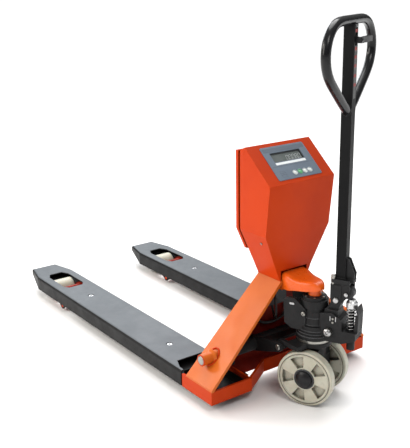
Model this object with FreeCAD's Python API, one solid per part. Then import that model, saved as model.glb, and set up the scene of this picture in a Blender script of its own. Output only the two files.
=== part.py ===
import FreeCAD, Part
import os
import math

# Hand pallet truck with a built-in weighing scale: two load-cell forks, a
# welded A-frame with a wedge-shaped terminal housing, and a steered hydraulic
# pump with a loop handle.  Units are millimetres, +Z up, forks point to +Y,
# the operator stands on the -Y side, x = 0 is the frame's symmetry plane and
# z = 0 is the floor with the forks fully lowered.

# ---------------------------------------------------------------- dimensions
Y_SHIFT = -250.745        # added to every Y, so the origin is the centre of the box

# forks and weigh covers
FORK_X = 259.6          # fork centre lines
COVER_HW = 83.3         # half width of a weigh cover
COVER_TOP = 88.9        # lowered height
COVER_BOTTOM = 33.1
COVER_REAR = -133.7
COVER_SHOULDER = 966.0  # where the tip starts to narrow
COVER_TIP = 1080.0
COVER_TIP_HW = 57.0
COVER_TIP_Z = 64.5      # underside at the tip
COVER_T = 4.5
COVER_BEND = 11.0
LOAD_HOLES = (635.0, 56.7)
LOAD_HOLE_R = 12.0
WIN_Y0, WIN_Y1, WIN_HW = 768.0, 960.0, 45.0

# inner fork channel
CH_HW = 72.0
CH_TOP = 64.0
CH_BOTTOM = 34.0
CH_T = 5.0
CH_REAR = -294.0
CH_TIP = 1040.0

# load roller frame
RF_Y, RF_Z = 760.0, 22.0        # pivot on the fork
ROLL_Y, ROLL_Z = 900.0, 40.0    # roller axle
ROLL_R = 40.0
ROLL_HW = 43.0
ROD_X = 225.0                   # push rods' distance from the centre plane
ROD_EYE = (744.1, 55.5)         # rod eye on the roller frame

# heel frame
SK_X = 341.2
SK_Z0, SK_Z1 = 31.6, 77.5
SK_Y0, SK_Y1 = -302.2, -137.8
SK_IN = 182.6
SK_T = 8.0

# sloping straps of the A-frame
ST_SLOPE = 1.0605
ST_X, ST_Z = 60.0, 382.0
ST_T = 10.0

# rocker shaft through both straps
SH_Y, SH_Z, SH_R = -222.0, 153.0, 15.0
SH_END = 325.0
PIN_Y, PIN_Z = -351.0, 186.0    # rocker pin on the lift yoke

# terminal housing
HS_HW = 135.0
HS_T = 3.0

# steered unit
STEER_Y = -401.5
DELTA = 25.0            # steering angle in the stored pose
WH_R, WH_OUT, WH_W = 94.0, 79.0, 30.0
AX_R = 12.5
PIV_Y, PIV_Z = -80.0, 362.0     # handle pivot, steering frame
ROL_Y, ROL_Z, ROL_R = -112.0, 385.0, 20.0
PL_Y = -123.0                   # plunger axis, steering frame
TUBE_Y, TUBE = -88.0, 32.0      # handle tube centre and width
TUBE_TOP = 1196.0
LOOP_R = 14.0
LOOP = [(16.0, 952.0), (45.0, 970.5), (82.0, 995.5), (120.0, 1022.0),
        (151.0, 1043.5), (177.0, 1067.0), (192.5, 1093.5), (197.0, 1120.0),
        (192.0, 1146.0), (179.5, 1168.0), (160.0, 1186.0), (136.0, 1198.5),
        (106.0, 1205.0), (70.0, 1206.0), (35.0, 1206.0)]
LOOP_TOP = 1206.0

V = FreeCAD.Vector


# ------------------------------------------------------------------- helpers
def face(pts):
    return Part.Face(Part.makePolygon(pts + [pts[0]]))


def px(pts, x0, x1):
    return face([V(x0, y, z) for y, z in pts]).extrude(V(x1 - x0, 0, 0))


def py(pts, y0, y1):
    return face([V(x, y0, z) for x, z in pts]).extrude(V(0, y1 - y0, 0))


def pz(pts, z0, z1):
    return face([V(x, y, z0) for x, y in pts]).extrude(V(0, 0, z1 - z0))


def box(x0, x1, y0, y1, z0, z1):
    return Part.makeBox(x1 - x0, y1 - y0, z1 - z0, V(x0, y0, z0))


def cx(r, y, z, x0, x1):
    return Part.makeCylinder(r, x1 - x0, V(x0, y, z), V(1, 0, 0))


def cy(r, x, z, y0, y1):
    return Part.makeCylinder(r, y1 - y0, V(x, y0, z), V(0, 1, 0))


def cz(r, x, y, z0, z1):
    return Part.makeCylinder(r, z1 - z0, V(x, y, z0), V(0, 0, 1))


def fuse(parts):
    s = parts[0]
    if len(parts) > 1:
        s = s.multiFuse(parts[1:])
    try:
        s = s.removeSplitter()
    except Exception:
        pass
    return s


def cut(s, tools):
    for t in (tools if isinstance(tools, (list, tuple)) else [tools]):
        s = s.cut(t)
    return s


def mir(s):
    return s.mirror(V(0, 0, 0), V(1, 0, 0))


def move(s, x=0, y=0, z=0):
    t = s.copy()
    t.translate(V(x, y, z))
    return t


def steer(s):
    t = s.copy()
    t.rotate(V(0, 0, 0), V(0, 0, 1), DELTA)
    t.translate(V(0, STEER_Y, 0))
    return t


def inset(pts, d):
    """Polygon (x, y), anticlockwise and convex, moved inward by d."""
    n = len(pts)
    out = []
    for i in range(n):
        p0, p1, p2 = pts[i - 1], pts[i], pts[(i + 1) % n]
        a = (p1[0] - p0[0], p1[1] - p0[1])
        b = (p2[0] - p1[0], p2[1] - p1[1])
        la, lb = math.hypot(*a), math.hypot(*b)
        na = (-a[1] / la, a[0] / la)
        nb = (-b[1] / lb, b[0] / lb)
        k = 1 + na[0] * nb[0] + na[1] * nb[1]
        out.append((p1[0] + d * (na[0] + nb[0]) / k, p1[1] + d * (na[1] + nb[1]) / k))
    return out


def fillet(s, r, pick):
    edges = [e for e in s.Edges if pick(e)]
    if not edges:
        return s
    try:
        t = s.makeFillet(r, edges)
        if t.isValid() and t.Volume > 0:
            return t
    except Exception:
        pass
    print("fillet skipped", r, len(edges))
    return s


def hexbolt(x, y, z, af, h):
    r = af / math.sqrt(3)
    pts = [(x + r * math.cos(math.radians(60 * i)), y + r * math.sin(math.radians(60 * i))) for i in range(6)]
    return pz(pts, z, z + h)


def wall(p, q, t, z0, z1):
    dx, dy = q[0] - p[0], q[1] - p[1]
    n = math.hypot(dx, dy)
    nx, ny = -dy / n * t, dx / n * t
    return pz([p, q, (q[0] + nx, q[1] + ny), (p[0] + nx, p[1] + ny)], z0, z1)


NODES = {}


def node(name, shape):
    NODES[name] = shape


# --------------------------------------------------------------- weigh covers
def weigh_cover():
    plan = [(-COVER_HW, COVER_REAR), (COVER_HW, COVER_REAR), (COVER_HW, COVER_SHOULDER),
            (COVER_TIP_HW, COVER_TIP), (-COVER_TIP_HW, COVER_TIP), (-COVER_HW, COVER_SHOULDER)]

    def top(e, z, rear):
        a, b = e.valueAt(e.FirstParameter), e.valueAt(e.LastParameter)
        return abs(a.z - z) < 1e-4 and abs(b.z - z) < 1e-4 and not (abs(a.y - rear) < 1e-4 and abs(b.y - rear) < 1e-4)

    o = fillet(pz(plan, COVER_BOTTOM, COVER_TOP), COVER_BEND, lambda e: top(e, COVER_TOP, COVER_REAR))
    ip = inset(plan, COVER_T)
    ip[0] = (ip[0][0], COVER_REAR - 20)
    ip[1] = (ip[1][0], COVER_REAR - 20)
    i = fillet(pz(ip, COVER_BOTTOM - 5, COVER_TOP - COVER_T), COVER_BEND - COVER_T,
               lambda e: top(e, COVER_TOP - COVER_T, COVER_REAR - 20))
    s = o.cut(i)
    s = s.cut(px([(COVER_SHOULDER, COVER_BOTTOM), (COVER_TIP + 2, COVER_TIP_Z + 0.6), (COVER_TIP + 2, 20), (COVER_SHOULDER, 20)], -90, 90))
    # roller window, with clipped corners
    w = WIN_HW
    s = s.cut(pz([(-w + 14, WIN_Y0), (w - 14, WIN_Y0), (w, WIN_Y0 + 24), (w, WIN_Y1 - 34), (w - 17, WIN_Y1), (-w + 17, WIN_Y1), (-w, WIN_Y1 - 34), (-w, WIN_Y0 + 24)], 70, 100))
    for y in LOAD_HOLES:
        s = s.cut(cz(LOAD_HOLE_R, 0, y, 70, 100))
    # linkage notch at the heel end
    s = s.cut(pz([(-72, COVER_REAR - 5), (72, COVER_REAR - 5), (72, -112), (52, -68), (-52, -68), (-72, -112)], 70, 100))
    return s


COV = weigh_cover()
node("weigh_cover_left", move(COV, -FORK_X))
node("weigh_cover_right", move(COV, FORK_X))


# --------------------------------------------------------- inner fork channel
def fork_channel():
    k = (COVER_HW - COVER_TIP_HW) / (COVER_TIP - COVER_SHOULDER)
    tip_hw = CH_HW - k * (CH_TIP - 958.0)
    plan = [(-CH_HW, CH_REAR), (CH_HW, CH_REAR), (CH_HW, 958.0), (tip_hw, CH_TIP), (-tip_hw, CH_TIP), (-CH_HW, 958.0)]
    o = pz(plan, CH_BOTTOM, CH_TOP)
    ip = inset(plan, CH_T)
    ip[0] = (ip[0][0], CH_REAR - 20)
    ip[1] = (ip[1][0], CH_REAR - 20)
    s = o.cut(pz(ip, CH_BOTTOM - 5, CH_TOP - CH_T))
    s = s.cut(px([(962, CH_BOTTOM), (CH_TIP + 5, 56.5), (CH_TIP + 5, 20), (962, 20)], -90, 90))
    # open top over the load roller and its frame
    s = s.cut(box(-CH_HW + CH_T, CH_HW - CH_T, 688, 952, 50, 70))
    # open top at the heel, where the push rod rises to the rocker
    s = s.cut(box(-CH_HW + CH_T, CH_HW - CH_T, CH_REAR - 1, 6, 50, 70))
    lug = fuse([px([(718, CH_BOTTOM + 6), (802, CH_BOTTOM + 6), (802, CH_BOTTOM), (RF_Y + 12.5, RF_Z - 8), (RF_Y - 12.5, RF_Z - 8), (718, CH_BOTTOM)],
                   -CH_HW, -CH_HW + CH_T), cx(15.0, RF_Y, RF_Z, -CH_HW, -CH_HW + CH_T)])
    s = fuse([s, lug, mir(lug)])
    s = s.cut(cx(8.06, RF_Y, RF_Z, -90, 90))
    # cross bars that tie the two side walls at the heel
    s = fuse([s, box(-CH_HW + CH_T, CH_HW - CH_T, -292, -284, CH_BOTTOM, 62)])
    return s


CHN = fork_channel()
node("fork_channel_left", move(CHN, -FORK_X))
node("fork_channel_right", move(CHN, FORK_X))

# ------------------------------------------------------------------ load cells
# Shear-beam cell, 130 mm long: one end bolted to the channel through a spacer,
# the free end carries the cover through a button.
CELL_L, CELL_W, CELL_Z0, CELL_Z1 = 130.0, 32.0, 66.0, 80.0


def load_cell(y, sx):
    a, b = (y - 16, y + CELL_L - 16) if y < 300 else (y - CELL_L + 16, y + 16)
    s = box(-CELL_W / 2, CELL_W / 2, a, b, CELL_Z0, CELL_Z1)
    m = (a + b) / 2
    s = s.cut(box(-CELL_W / 2 - 1, -6, m - 17, m + 17, CELL_Z0 - 1, CELL_Z1 + 1))
    s = s.cut(box(6, CELL_W / 2 + 1, m - 17, m + 17, CELL_Z0 - 1, CELL_Z1 + 1))
    far = b - 14 if y < 300 else a + 14
    spc = box(-CELL_W / 2, CELL_W / 2, min(far, far) - 14, far + 14, CH_TOP, CELL_Z0)
    s = fuse([s, spc])
    s = s.cut(cz(5.2, 0, far, 50, 90))
    s = s.cut(cz(5.2, 0, y, 50, 90))
    return move(s, sx), far


cells, hw, bolts = [], [], []
for sx in (-FORK_X, FORK_X):
    for y in LOAD_HOLES:
        c, far = load_cell(y, sx)
        cells.append(c)
        # clamping bolt of the fixed end: washer, head and nutless shank
        hw.append(fuse([cz(5.0, sx, far, CH_TOP, CELL_Z1), cz(7.8, sx, far, CELL_Z1, CELL_Z1 + 3.6)]))
        # load button in the free end, filling the hole of the cover
        b = fuse([cz(5.0, sx, y, CELL_Z0, CELL_Z1), cz(15.5, sx, y, CELL_Z1, COVER_TOP - COVER_T),
                  cz(9.6, sx, y, COVER_TOP - COVER_T, COVER_TOP - 1.4)])
        b = b.cut(hexbolt(sx, y, COVER_TOP - 5.2, 8.0, 8))
        bolts.append(b)
node("load_cells", Part.makeCompound(cells))
node("load_cell_bolts", Part.makeCompound(hw))
node("load_buttons", Part.makeCompound(bolts))

# ----------------------------------------------------------------- heel frame
walls = [box(-SK_X, -SK_X + SK_T, SK_Y0, SK_Y1, SK_Z0, SK_Z1),
         box(-SK_X, -SK_IN, SK_Y0, SK_Y0 + SK_T, SK_Z0, SK_Z1),
         wall((-SK_IN, SK_Y0), (-62, -226), SK_T, SK_Z0, SK_Z1),
         box(-66, 1, -226, -218, SK_Z0, SK_Z1),
         box(-SK_IN, -SK_IN + 5, SK_Y0, -150, SK_Z0, SK_Z1)]
half = fuse(walls)
node("heel_frame", fuse([half, mir(half)]))


# --------------------------------------------------------------------- straps
def st_z(x):
    return ST_Z + (x + ST_X) * ST_SLOPE


def strap():
    dz = ST_T * math.hypot(1, ST_SLOPE)
    x_in = (SK_Z1 + dz - ST_Z) / ST_SLOPE - ST_X
    s = py([(-52, st_z(-52)), (-SK_X, st_z(-SK_X)), (-SK_X, SK_Z1), (x_in, SK_Z1), (-52, st_z(-52) - dz)], -304, -160)
    s = s.common(pz([(-SK_X - 1, -163), (-SK_X - 1, -304), (-51, -303), (-51, -191)], 0, 500))
    s = s.cut(box(-60, -40, -310, -150, 384, 410))
    # boss for the rocker shaft
    boss = cx(19.5, SH_Y, SH_Z, -SH_END + 3, -262)
    collar = Part.makeCone(26, 19.5, 9, V(-277, SH_Y, SH_Z), V(-1, 0, 0))
    s = fuse([s, boss, collar.cut(box(-400, -200, -300, -150, 0, 100))])
    s = s.cut(cx(SH_R, SH_Y, SH_Z, -400, -200))
    return s


STR = strap()
node("strap_left", STR)
node("strap_right", mir(STR))
node("rocker_shaft", fuse([cx(SH_R, SH_Y, SH_Z, -SH_END + 1.5, SH_END - 1.5),
                           Part.makeCone(SH_R, SH_R - 1.5, 1.5, V(SH_END - 1.5, SH_Y, SH_Z), V(1, 0, 0)),
                           Part.makeCone(SH_R, SH_R - 1.5, 1.5, V(-SH_END + 1.5, SH_Y, SH_Z), V(-1, 0, 0))]))

# plate that closes the A-frame between the straps
dzs = ST_T * math.hypot(1, ST_SLOPE)
bp = [(-52, st_z(-52) - dzs - 0.0), (-318, st_z(-318) - dzs), (-318, SK_Z1), (-SK_IN + 5, SK_Z1), (-120, 150), (120, 150),
      (SK_IN - 5, SK_Z1), (318, SK_Z1), (318, st_z(-318) - dzs), (52, st_z(-52) - dzs)]
plate = py(bp, -191, -184)
foot = box(-SK_IN + 5, SK_IN - 5, -191, -184, SK_Z0, SK_Z1)
node("back_plate", cut(fuse([plate, foot, py([(-SK_IN + 5, SK_Z1), (-120, 150), (120, 150), (SK_IN - 5, SK_Z1)], -191, -184)]),
                       [py([(-58, 110), (58, 110), (44, 178), (-44, 178)], -200, -180),
                        box(-51, 51, -200, -180, 352, 400), box(-240, -210, -200, -180, 60, 142), box(210, 240, -200, -180, 60, 142)]))

# ------------------------------------------------------------------ frame head
# saddle-shaped nose: sections across Y with rounded upper corners
# (y, half width, underside, top, corner radius)
NOSE = [(-298, 51, 356, 412, 14), (-320, 50, 358, 410.5, 14), (-340, 48, 362, 404.5, 14), (-360, 44.5, 366.5, 402, 14),
        (-380, 39.5, 369.5, 403, 14), (-400, 32.5, 372.5, 404.5, 13), (-415, 25, 375, 403.5, 11), (-425, 18, 377, 400, 9),
        (-431, 12, 379.5, 395, 6), (-434, 7, 382, 391, 3.5)]


def nose_section(y, w, zb, zt, r):
    k = r * (1 - math.sqrt(0.5))
    p = [V(-w, y, zb), V(w, y, zb), V(w, y, zt - r), V(w - r, y, zt), V(-w + r, y, zt), V(-w, y, zt - r)]
    e = [Part.makeLine(p[0], p[1]), Part.makeLine(p[1], p[2]), Part.Arc(p[2], V(w - k, y, zt - k), p[3]).toShape(), Part.makeLine(p[3], p[4]),
         Part.Arc(p[4], V(-w + k, y, zt - k), p[5]).toShape(), Part.makeLine(p[5], p[0])]
    return Part.Wire(e)


hd = Part.makeLoft([nose_section(*q) for q in NOSE], True, False)
hd = fuse([hd, box(-51, 51, -300, -184, 352, 386), box(-49, 49, -304, -296, 358, 398)])
# collar that seats on the ram
hd = fuse([hd, cz(21.0, 0, STEER_Y, 358, 376)])
hd = hd.cut(cz(17.5, 0, STEER_Y, 340, 384))
node("frame_head", hd)
# lift ram: lower end slides in the pump's cylinder, upper end seats in the head
node("lift_ram", fuse([cz(17.5, 0, STEER_Y, 205, 382), Part.makeCone(17.5, 14, 2, V(0, STEER_Y, 382), V(0, 0, 1))]))

# ------------------------------------------------------------ terminal housing
side = [(-190.5, 384), (-190.5, 809), (-213.6, 820.6), (-335.8, 716.2), (-317.1, 550.5), (-300.9, 418.6), (-300.9, 384)]
front = [(-HS_HW, 830), (-HS_HW, 550.5), (-74.3, 418.6), (-59.0, 384), (59.0, 384), (74.3, 418.6), (HS_HW, 550.5), (HS_HW, 830)]
outer = px(side, -140, 140).common(py(front, -340, -180))
t = HS_T
side_i = [(-180, 384 - 5), (-180, 805.6), (-212.8, 816.9), (-332.5, 714.8), (-314.1, 550.3), (-297.9, 418.6), (-297.9, 384 - 5)]
front_i = [(-HS_HW + t, 825), (-HS_HW + t, 551.1), (-74.3 + t * 1.1, 418.2), (-59.0 + t * 1.1, 379), (59.0 - t * 1.1, 379),
           (74.3 - t * 1.1, 418.2), (HS_HW - t, 551.1), (HS_HW - t, 825)]
inner = px(side_i, -140, 140).common(py(front_i, -340, -170))
shell = outer.cut(inner)
# front wall stops above the head; the side walls run down onto the straps
shell = shell.cut(box(-56, 56, -310, -285, 380, 418.6))
# display opening on the slope
SL_A = V(0, -213.6, 820.6)
SL_D = V(0, -122.2, -104.4).normalize()
SL_N = V(0, -104.4, 122.2).normalize()


def on_slope(pts, h0, h1):
    """Prism from (x, distance down the slope), between two heights over the slope."""
    f = face([SL_A + V(x, 0, 0) + SL_D * s + SL_N * h0 for x, s in pts])
    return f.extrude(SL_N * (h1 - h0))


def rect(x0, x1, s0, s1):
    return [(x0, s0), (x1, s0), (x1, s1), (x0, s1)]


def disc(x, s, r, h0, h1):
    return Part.makeCylinder(r, h1 - h0, SL_A + V(x, 0, 0) + SL_D * s + SL_N * h0, SL_N)


KEYS = [(-10.0, 125.5), (11.0, 125.5), (31.5, 125.5), (52.0, 125.5)]
shell = shell.cut(on_slope(rect(-68, 68, 34, 84), -6, 6))
for x, s in KEYS:
    shell = shell.cut(disc(x, s, 9.0, -6, 6))
# back opening is closed by the back plate; screw holes in the tapered walls
TP_N = V(0.9085, 0, -0.4179)


def on_taper(s_, r, h0, h1):
    """Cylinder square to a tapered side wall, between two heights over it."""
    n = V(s_ * TP_N.x, 0, TP_N.z)
    return Part.makeCylinder(r, h1 - h0, V(s_ * 121.43, -281, 521) + n * h0, n)


shell = cut(shell, [on_taper(-1, 2.1, -10, 5), on_taper(1, 2.1, -10, 5)])

back_f = [(-HS_HW, 807), (-HS_HW, 550.5), (-100.1, 475), (100.1, 475), (HS_HW, 550.5), (HS_HW, 807)]
back_i = [(-HS_HW + 3, 804), (-HS_HW + 3, 551.2), (-98.3, 478), (98.3, 478), (HS_HW - 3, 551.2), (HS_HW - 3, 804)]
tray = py(back_f, -181, -169).cut(py(back_i, -181, -172))
lip_o = [(-129, 799), (-129, 552), (-96, 481), (96, 481), (129, 552), (129, 799)]
lip_i = [(-126, 796), (-126, 552.7), (-94.2, 484), (94.2, 484), (126, 552.7), (126, 796)]
lip = py(lip_o, -202, -172).cut(py(lip_i, -202, -172))
bk = fuse([tray, lip])
node("terminal_back_plate", bk)
# lower rear cover of the neck, below the back plate
neck = py([(-92.6, 466), (-74.3 + 1.6, 418.6), (-59.0 + 1.6, 386), (59.0 - 1.6, 386), (74.3 - 1.6, 418.6), (92.6, 466)], -193, -190.5)
shelf = fuse([box(-133, 133, -296, -206, 562.5, 566), box(-133, -130, -296, -206, 566, 590), box(130, 133, -296, -206, 566, 590)])
node("terminal_housing", fuse([shell, neck, shelf]))

scr = [fuse([on_taper(s_, 4.3, 0.0, 2.6), on_taper(s_, 2.0, -14.0, 0.0)]) for s_ in (-1, 1)]
scr += [fuse([cy(3.5, sx, z, -169, -166.8), cy(2.0, sx, z, -190, -169)]) for sx, z in ((-112, 780), (112, 780), (-112, 560), (112, 560))]
NODES["terminal_back_plate"] = cut(bk, [cy(2.0, sx, z, -200, -160) for sx, z in ((-112, 780), (112, 780), (-112, 560), (112, 560))])
node("housing_screws", Part.makeCompound(scr))

# display overlay: thin bezel plate with a window recess and four key holes
ov = on_slope([(-84, 15), (88, 15), (91.5, 18.5), (91.5, 142.5), (88, 146), (-84, 146), (-87.5, 142.5), (-87.5, 18.5)], 0.0, 1.6)
ov = ov.cut(on_slope(rect(-62, 63, 40, 77), -2, 4))
for x, s in KEYS:
    ov = ov.cut(disc(x, s, 7.6, -2, 4))
node("display_overlay", ov)
lcd = on_slope(rect(-66, 66, 36, 82), -11.0, -5.0)
lcd = lcd.fuse(on_slope(rect(-61.5, 62.5, 40.5, 76.5), -5.0, -3.6)).removeSplitter()
node("lcd_module", lcd)
pcb = on_slope(rect(-80, 84, 28, 140), -15.0, -13.0)
chips = [on_slope(rect(-52, -22, 96, 118), -18.0, -15.0), on_slope(rect(34, 60, 92, 112), -17.5, -15.0),
         on_slope(rect(-12, 14, 60, 74), -17.0, -15.0)]
posts = [disc(x, s, 3.4, -13.0, -4.0) for x, s in ((-75, 32), (79, 32), (-75, 136), (79, 136))]
headers = [on_slope(rect(-50, 50, 84.5, 88), -13.0, -11.0)]
sw = [disc(x, s, 3.0, -13.0, -9.2) for x, s in KEYS]
node("main_board", fuse([pcb] + chips + posts + headers + sw))
for i, (x, s) in enumerate(KEYS):
    k = disc(x, s, 7.3, -3.0, 1.4)
    k = k.fuse(disc(x, s, 2.4, -6.6, -3.0)).fuse(disc(x, s, 5.6, 1.4, 2.2)).removeSplitter()
    node("key_%d" % (i + 1), k)

# sealed battery on a shelf inside the housing
node("battery_pack", fuse([box(-66, 66, -282, -216, 566, 632), box(-58, -46, -266, -258, 632, 637), box(46, 58, -266, -258, 632, 637)]))

# junction box of the load cells on the back plate
node("junction_box", fuse([box(-46, 46, -214, -191, 262, 322), box(-42, 42, -216, -214, 266, 318)]))


# cable from the terminal's underside to the junction box, clipped along its route
def tube_path(pts, r, bend):
    """Round tube along straight runs joined by tangent arcs."""
    edges = []
    start = pts[0]
    for i in range(1, len(pts) - 1):
        p0, p1, p2 = pts[i - 1], pts[i], pts[i + 1]
        u = (p0 - p1).normalize()
        w = (p2 - p1).normalize()
        ang = math.acos(max(-1, min(1, u.dot(w))))
        la, lb = (p0 - p1).Length, (p2 - p1).Length
        R = min(bend, 0.45 * min(la, lb) * math.tan(ang / 2))
        d = R / math.tan(ang / 2)
        a = p1 + u * d
        b = p1 + w * d
        bis = (u + w).normalize()
        c = p1 + bis * (R / math.sin(ang / 2))
        m = c - bis * R
        if (a - start).Length > 1e-6:
            edges.append(Part.makeLine(start, a))
        edges.append(Part.Arc(a, m, b).toShape())
        start = b
        print("bend radius", round(R, 1))
    edges.append(Part.makeLine(start, pts[-1]))
    wire = Part.Wire(edges)
    t0 = (pts[1] - pts[0]).normalize()
    prof = Part.Wire([Part.makeCircle(r, pts[0], t0)])
    s = wire.makePipeShell([prof], True, False)
    L = sum(e.Length for e in edges)
    print("tube volume ratio", round(s.Volume / (math.pi * r * r * L), 4), "length", round(L, 1))
    return s


CABLE_R = 4.0
cab = [V(-14, -250, 386), V(-14, -250, 386)]
CABLE = [V(-28, -240, 352), V(-28, -240, 336), V(-34, -246, 312), V(-42, -262, 288), V(-46, -268, 262),
         V(-40, -258, 238), V(-26, -236, 228), V(-12, -214, 238), V(-8, -203, 256), V(-8, -203, 262)]
node("signal_cable", tube_path(CABLE, CABLE_R, 60.0))
NODES["frame_head"] = NODES["frame_head"].cut(cz(4.6, -28, -240, 340, 400))
gl = cz(8.5, -28, -240, 345, 352.5).cut(cz(4.0, -28, -240, 340, 360))
NODES["frame_head"] = fuse([NODES["frame_head"], gl])

# -------------------------------------------------------- rocker and push rods
LEV_Y, LEV_Z = SH_Y - 15.8, SH_Z - 32.4     # lower lever eye


def hull2(y0, z0, r0, y1, z1, r1, x0, x1):
    """Plate whose outline is two circles joined by tangents, extruded along X."""
    d = math.hypot(y1 - y0, z1 - z0)
    a = math.atan2(z1 - z0, y1 - y0)
    b = math.acos((r0 - r1) / d)
    p = []
    for s in (1, -1):
        p.append(((y0 + r0 * math.cos(a + s * b), z0 + r0 * math.sin(a + s * b)), (y1 + r1 * math.cos(a + s * b), z1 + r1 * math.sin(a + s * b))))
    core = px([p[0][0], p[0][1], p[1][1], p[1][0]], x0, x1)
    return fuse([core, cx(r0, y0, z0, x0, x1), cx(r1, y1, z1, x0, x1)])


rk = [cx(24, SH_Y, SH_Z, -218, 218)]
for s_ in (-1, 1):
    xa, xb = sorted((s_ * 99.0, s_ * 110.0))
    rk.append(hull2(SH_Y, SH_Z, 27, PIN_Y, PIN_Z, 16, xa, xb))
    xa, xb = sorted((s_ * 207.0, s_ * 217.0))
    rk.append(hull2(SH_Y, SH_Z, 24, LEV_Y, LEV_Z, 11, xa, xb))
rk.append(py([(-99, 170), (99, 170), (99, 178), (-99, 178)], -290, -252))
rocker = fuse(rk)
rocker = rocker.cut(cx(SH_R + 1.55, SH_Y, SH_Z, -400, 400))
for s_ in (-1, 1):
    xa, xb = sorted((s_ * 90.0, s_ * 120.0))
    rocker = rocker.cut(cx(10.0, PIN_Y, PIN_Z, xa, xb))
    xa, xb = sorted((s_ * 200.0, s_ * 230.0))
    rocker = rocker.cut(cx(7.0, LEV_Y, LEV_Z, xa, xb))
node("rocker", rocker)
node("rocker_bushes", Part.makeCompound([cx(SH_R + 1.55, SH_Y, SH_Z, a, a + 30).cut(cx(SH_R + 0.05, SH_Y, SH_Z, a - 1, a + 31))
                                         for a in (-218.0, 188.0)]))
pins = []
for s_ in (-1, 1):
    x0, x1 = s_ * 98.9, s_ * 112.5
    pins.append(fuse([cx(10.0, PIN_Y, PIN_Z, min(x0, x1), max(x0, x1)),
                      Part.makeCone(10.0, 8.2, 1.6, V(x1, PIN_Y, PIN_Z), V(s_, 0, 0))]))
    x0, x1 = s_ * 206.0, s_ * 218.5
    pins.append(cx(7.0, LEV_Y, LEV_Z, min(x0, x1), max(x0, x1)))
node("rocker_pins", Part.makeCompound(pins))


def push_rod():
    h = 9.0
    prof = [(LEV_Y - 10, LEV_Z - 12), (LEV_Y + 10, LEV_Z - 12), (-60, 40), (690, 40), (712, 47), (ROD_EYE[0] - 8, 47), (ROD_EYE[0] - 8, 64),
            (716, 64), (698, 57), (-52, 57), (LEV_Y + 14, LEV_Z + 8), (LEV_Y + 6, LEV_Z + 12), (LEV_Y - 10, LEV_Z + 12)]
    s = px(prof, -5, 5)
    return s


ROD = push_rod()
node("push_rods", Part.makeCompound([move(ROD, -ROD_X), move(ROD, ROD_X)]))


# ---------------------------------------------------------- load roller frames
def roller_frame():
    parts = []
    for s_ in (-1, 1):
        xa, xb = sorted((s_ * 49.0, s_ * 57.0))
        parts.append(hull2(RF_Y, RF_Z, 12.5, ROLL_Y, ROLL_Z, 14, xa, xb))
        parts.append(px([(RF_Y - 4, RF_Z + 8), (ROLL_Y - 6, ROLL_Z + 6), (836, 76), (808, 76)], xa, xb))
    parts.append(cx(10.5, 820, 64, -57, 57))
    parts.append(cx(12.5, RF_Y, RF_Z, -57, 57))
    # lug that the push rod works on
    parts.append(hull2(RF_Y, RF_Z, 12, ROD_EYE[0] + 6.0, ROD_EYE[1], 8, FORK_X - ROD_X - 14, FORK_X - ROD_X - 6.5))
    s = fuse(parts)
    s = s.cut(cx(10.0, ROLL_Y, ROLL_Z, -80, 80))
    s = s.cut(cx(8.0, RF_Y, RF_Z, -80, 80))
    return s


RF = roller_frame()
node("roller_frames", Part.makeCompound([move(RF, -FORK_X), mir(move(RF, -FORK_X))]))
ax = []
for s_ in (-1, 1):
    ax.append(cx(10.0, ROLL_Y, ROLL_Z, s_ * FORK_X - 59, s_ * FORK_X + 59))
    ax.append(cx(8.0, RF_Y, RF_Z, s_ * FORK_X - 72.5, s_ * FORK_X + 72.5))
node("roller_axles", Part.makeCompound(ax))
rl = cx(ROLL_R, ROLL_Y, ROLL_Z, -ROLL_HW, ROLL_HW)
rl = fillet(rl, 3.0, lambda e: e.Length > 200)
rl = rl.cut(cx(17.0, ROLL_Y, ROLL_Z, -ROLL_HW - 1, -ROLL_HW + 12)).cut(cx(17.0, ROLL_Y, ROLL_Z, ROLL_HW - 12, ROLL_HW + 1)).cut(cx(12.0, ROLL_Y, ROLL_Z, -60, 60))
bsh = [cx(17.0, ROLL_Y, ROLL_Z, a, a + 12).cut(cx(10.05, ROLL_Y, ROLL_Z, a - 1, a + 13)) for a in (-ROLL_HW, ROLL_HW - 12)]
node("load_roller_left", move(rl, -FORK_X))
node("load_roller_right", move(rl, FORK_X))
node("roller_bearings_left", Part.makeCompound([move(b, -FORK_X) for b in bsh]))
node("roller_bearings_right", Part.makeCompound([move(b, FORK_X) for b in bsh]))

# ------------------------------------------------------------------- lift yoke
YK_Z0, YK_Z1 = 194.0, 208.0
ring = cz(58, 0, STEER_Y, YK_Z0, YK_Z1)
arms = []
for s_ in (-1, 1):
    xa, xb = sorted((s_ * 84.0, s_ * 97.0))
    arms.append(box(xa, xb, -428, PIN_Y, YK_Z0, YK_Z1))
    arms.append(px([(PIN_Y - 22, YK_Z0 + 4), (PIN_Y - 12, PIN_Z - 7), (PIN_Y + 8, PIN_Z - 9), (PIN_Y + 15, PIN_Z - 1),
                    (PIN_Y + 15, PIN_Z + 12), (PIN_Y + 8, YK_Z1), (PIN_Y - 22, YK_Z1)], xa, xb))
plate = box(-90, 90, -428, -372, YK_Z0, YK_Z1)
yoke = fuse([ring, plate] + arms)
yoke = yoke.cut(cz(42.5, 0, STEER_Y, YK_Z0 - 5, YK_Z1 + 5))
node("lift_yoke", yoke)
node("thrust_bearing", Part.makeCompound([cz(56, 0, STEER_Y, YK_Z1, YK_Z1 + 9).cut(cz(42.5, 0, STEER_Y, YK_Z1 - 1, YK_Z1 + 10))]))


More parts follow.
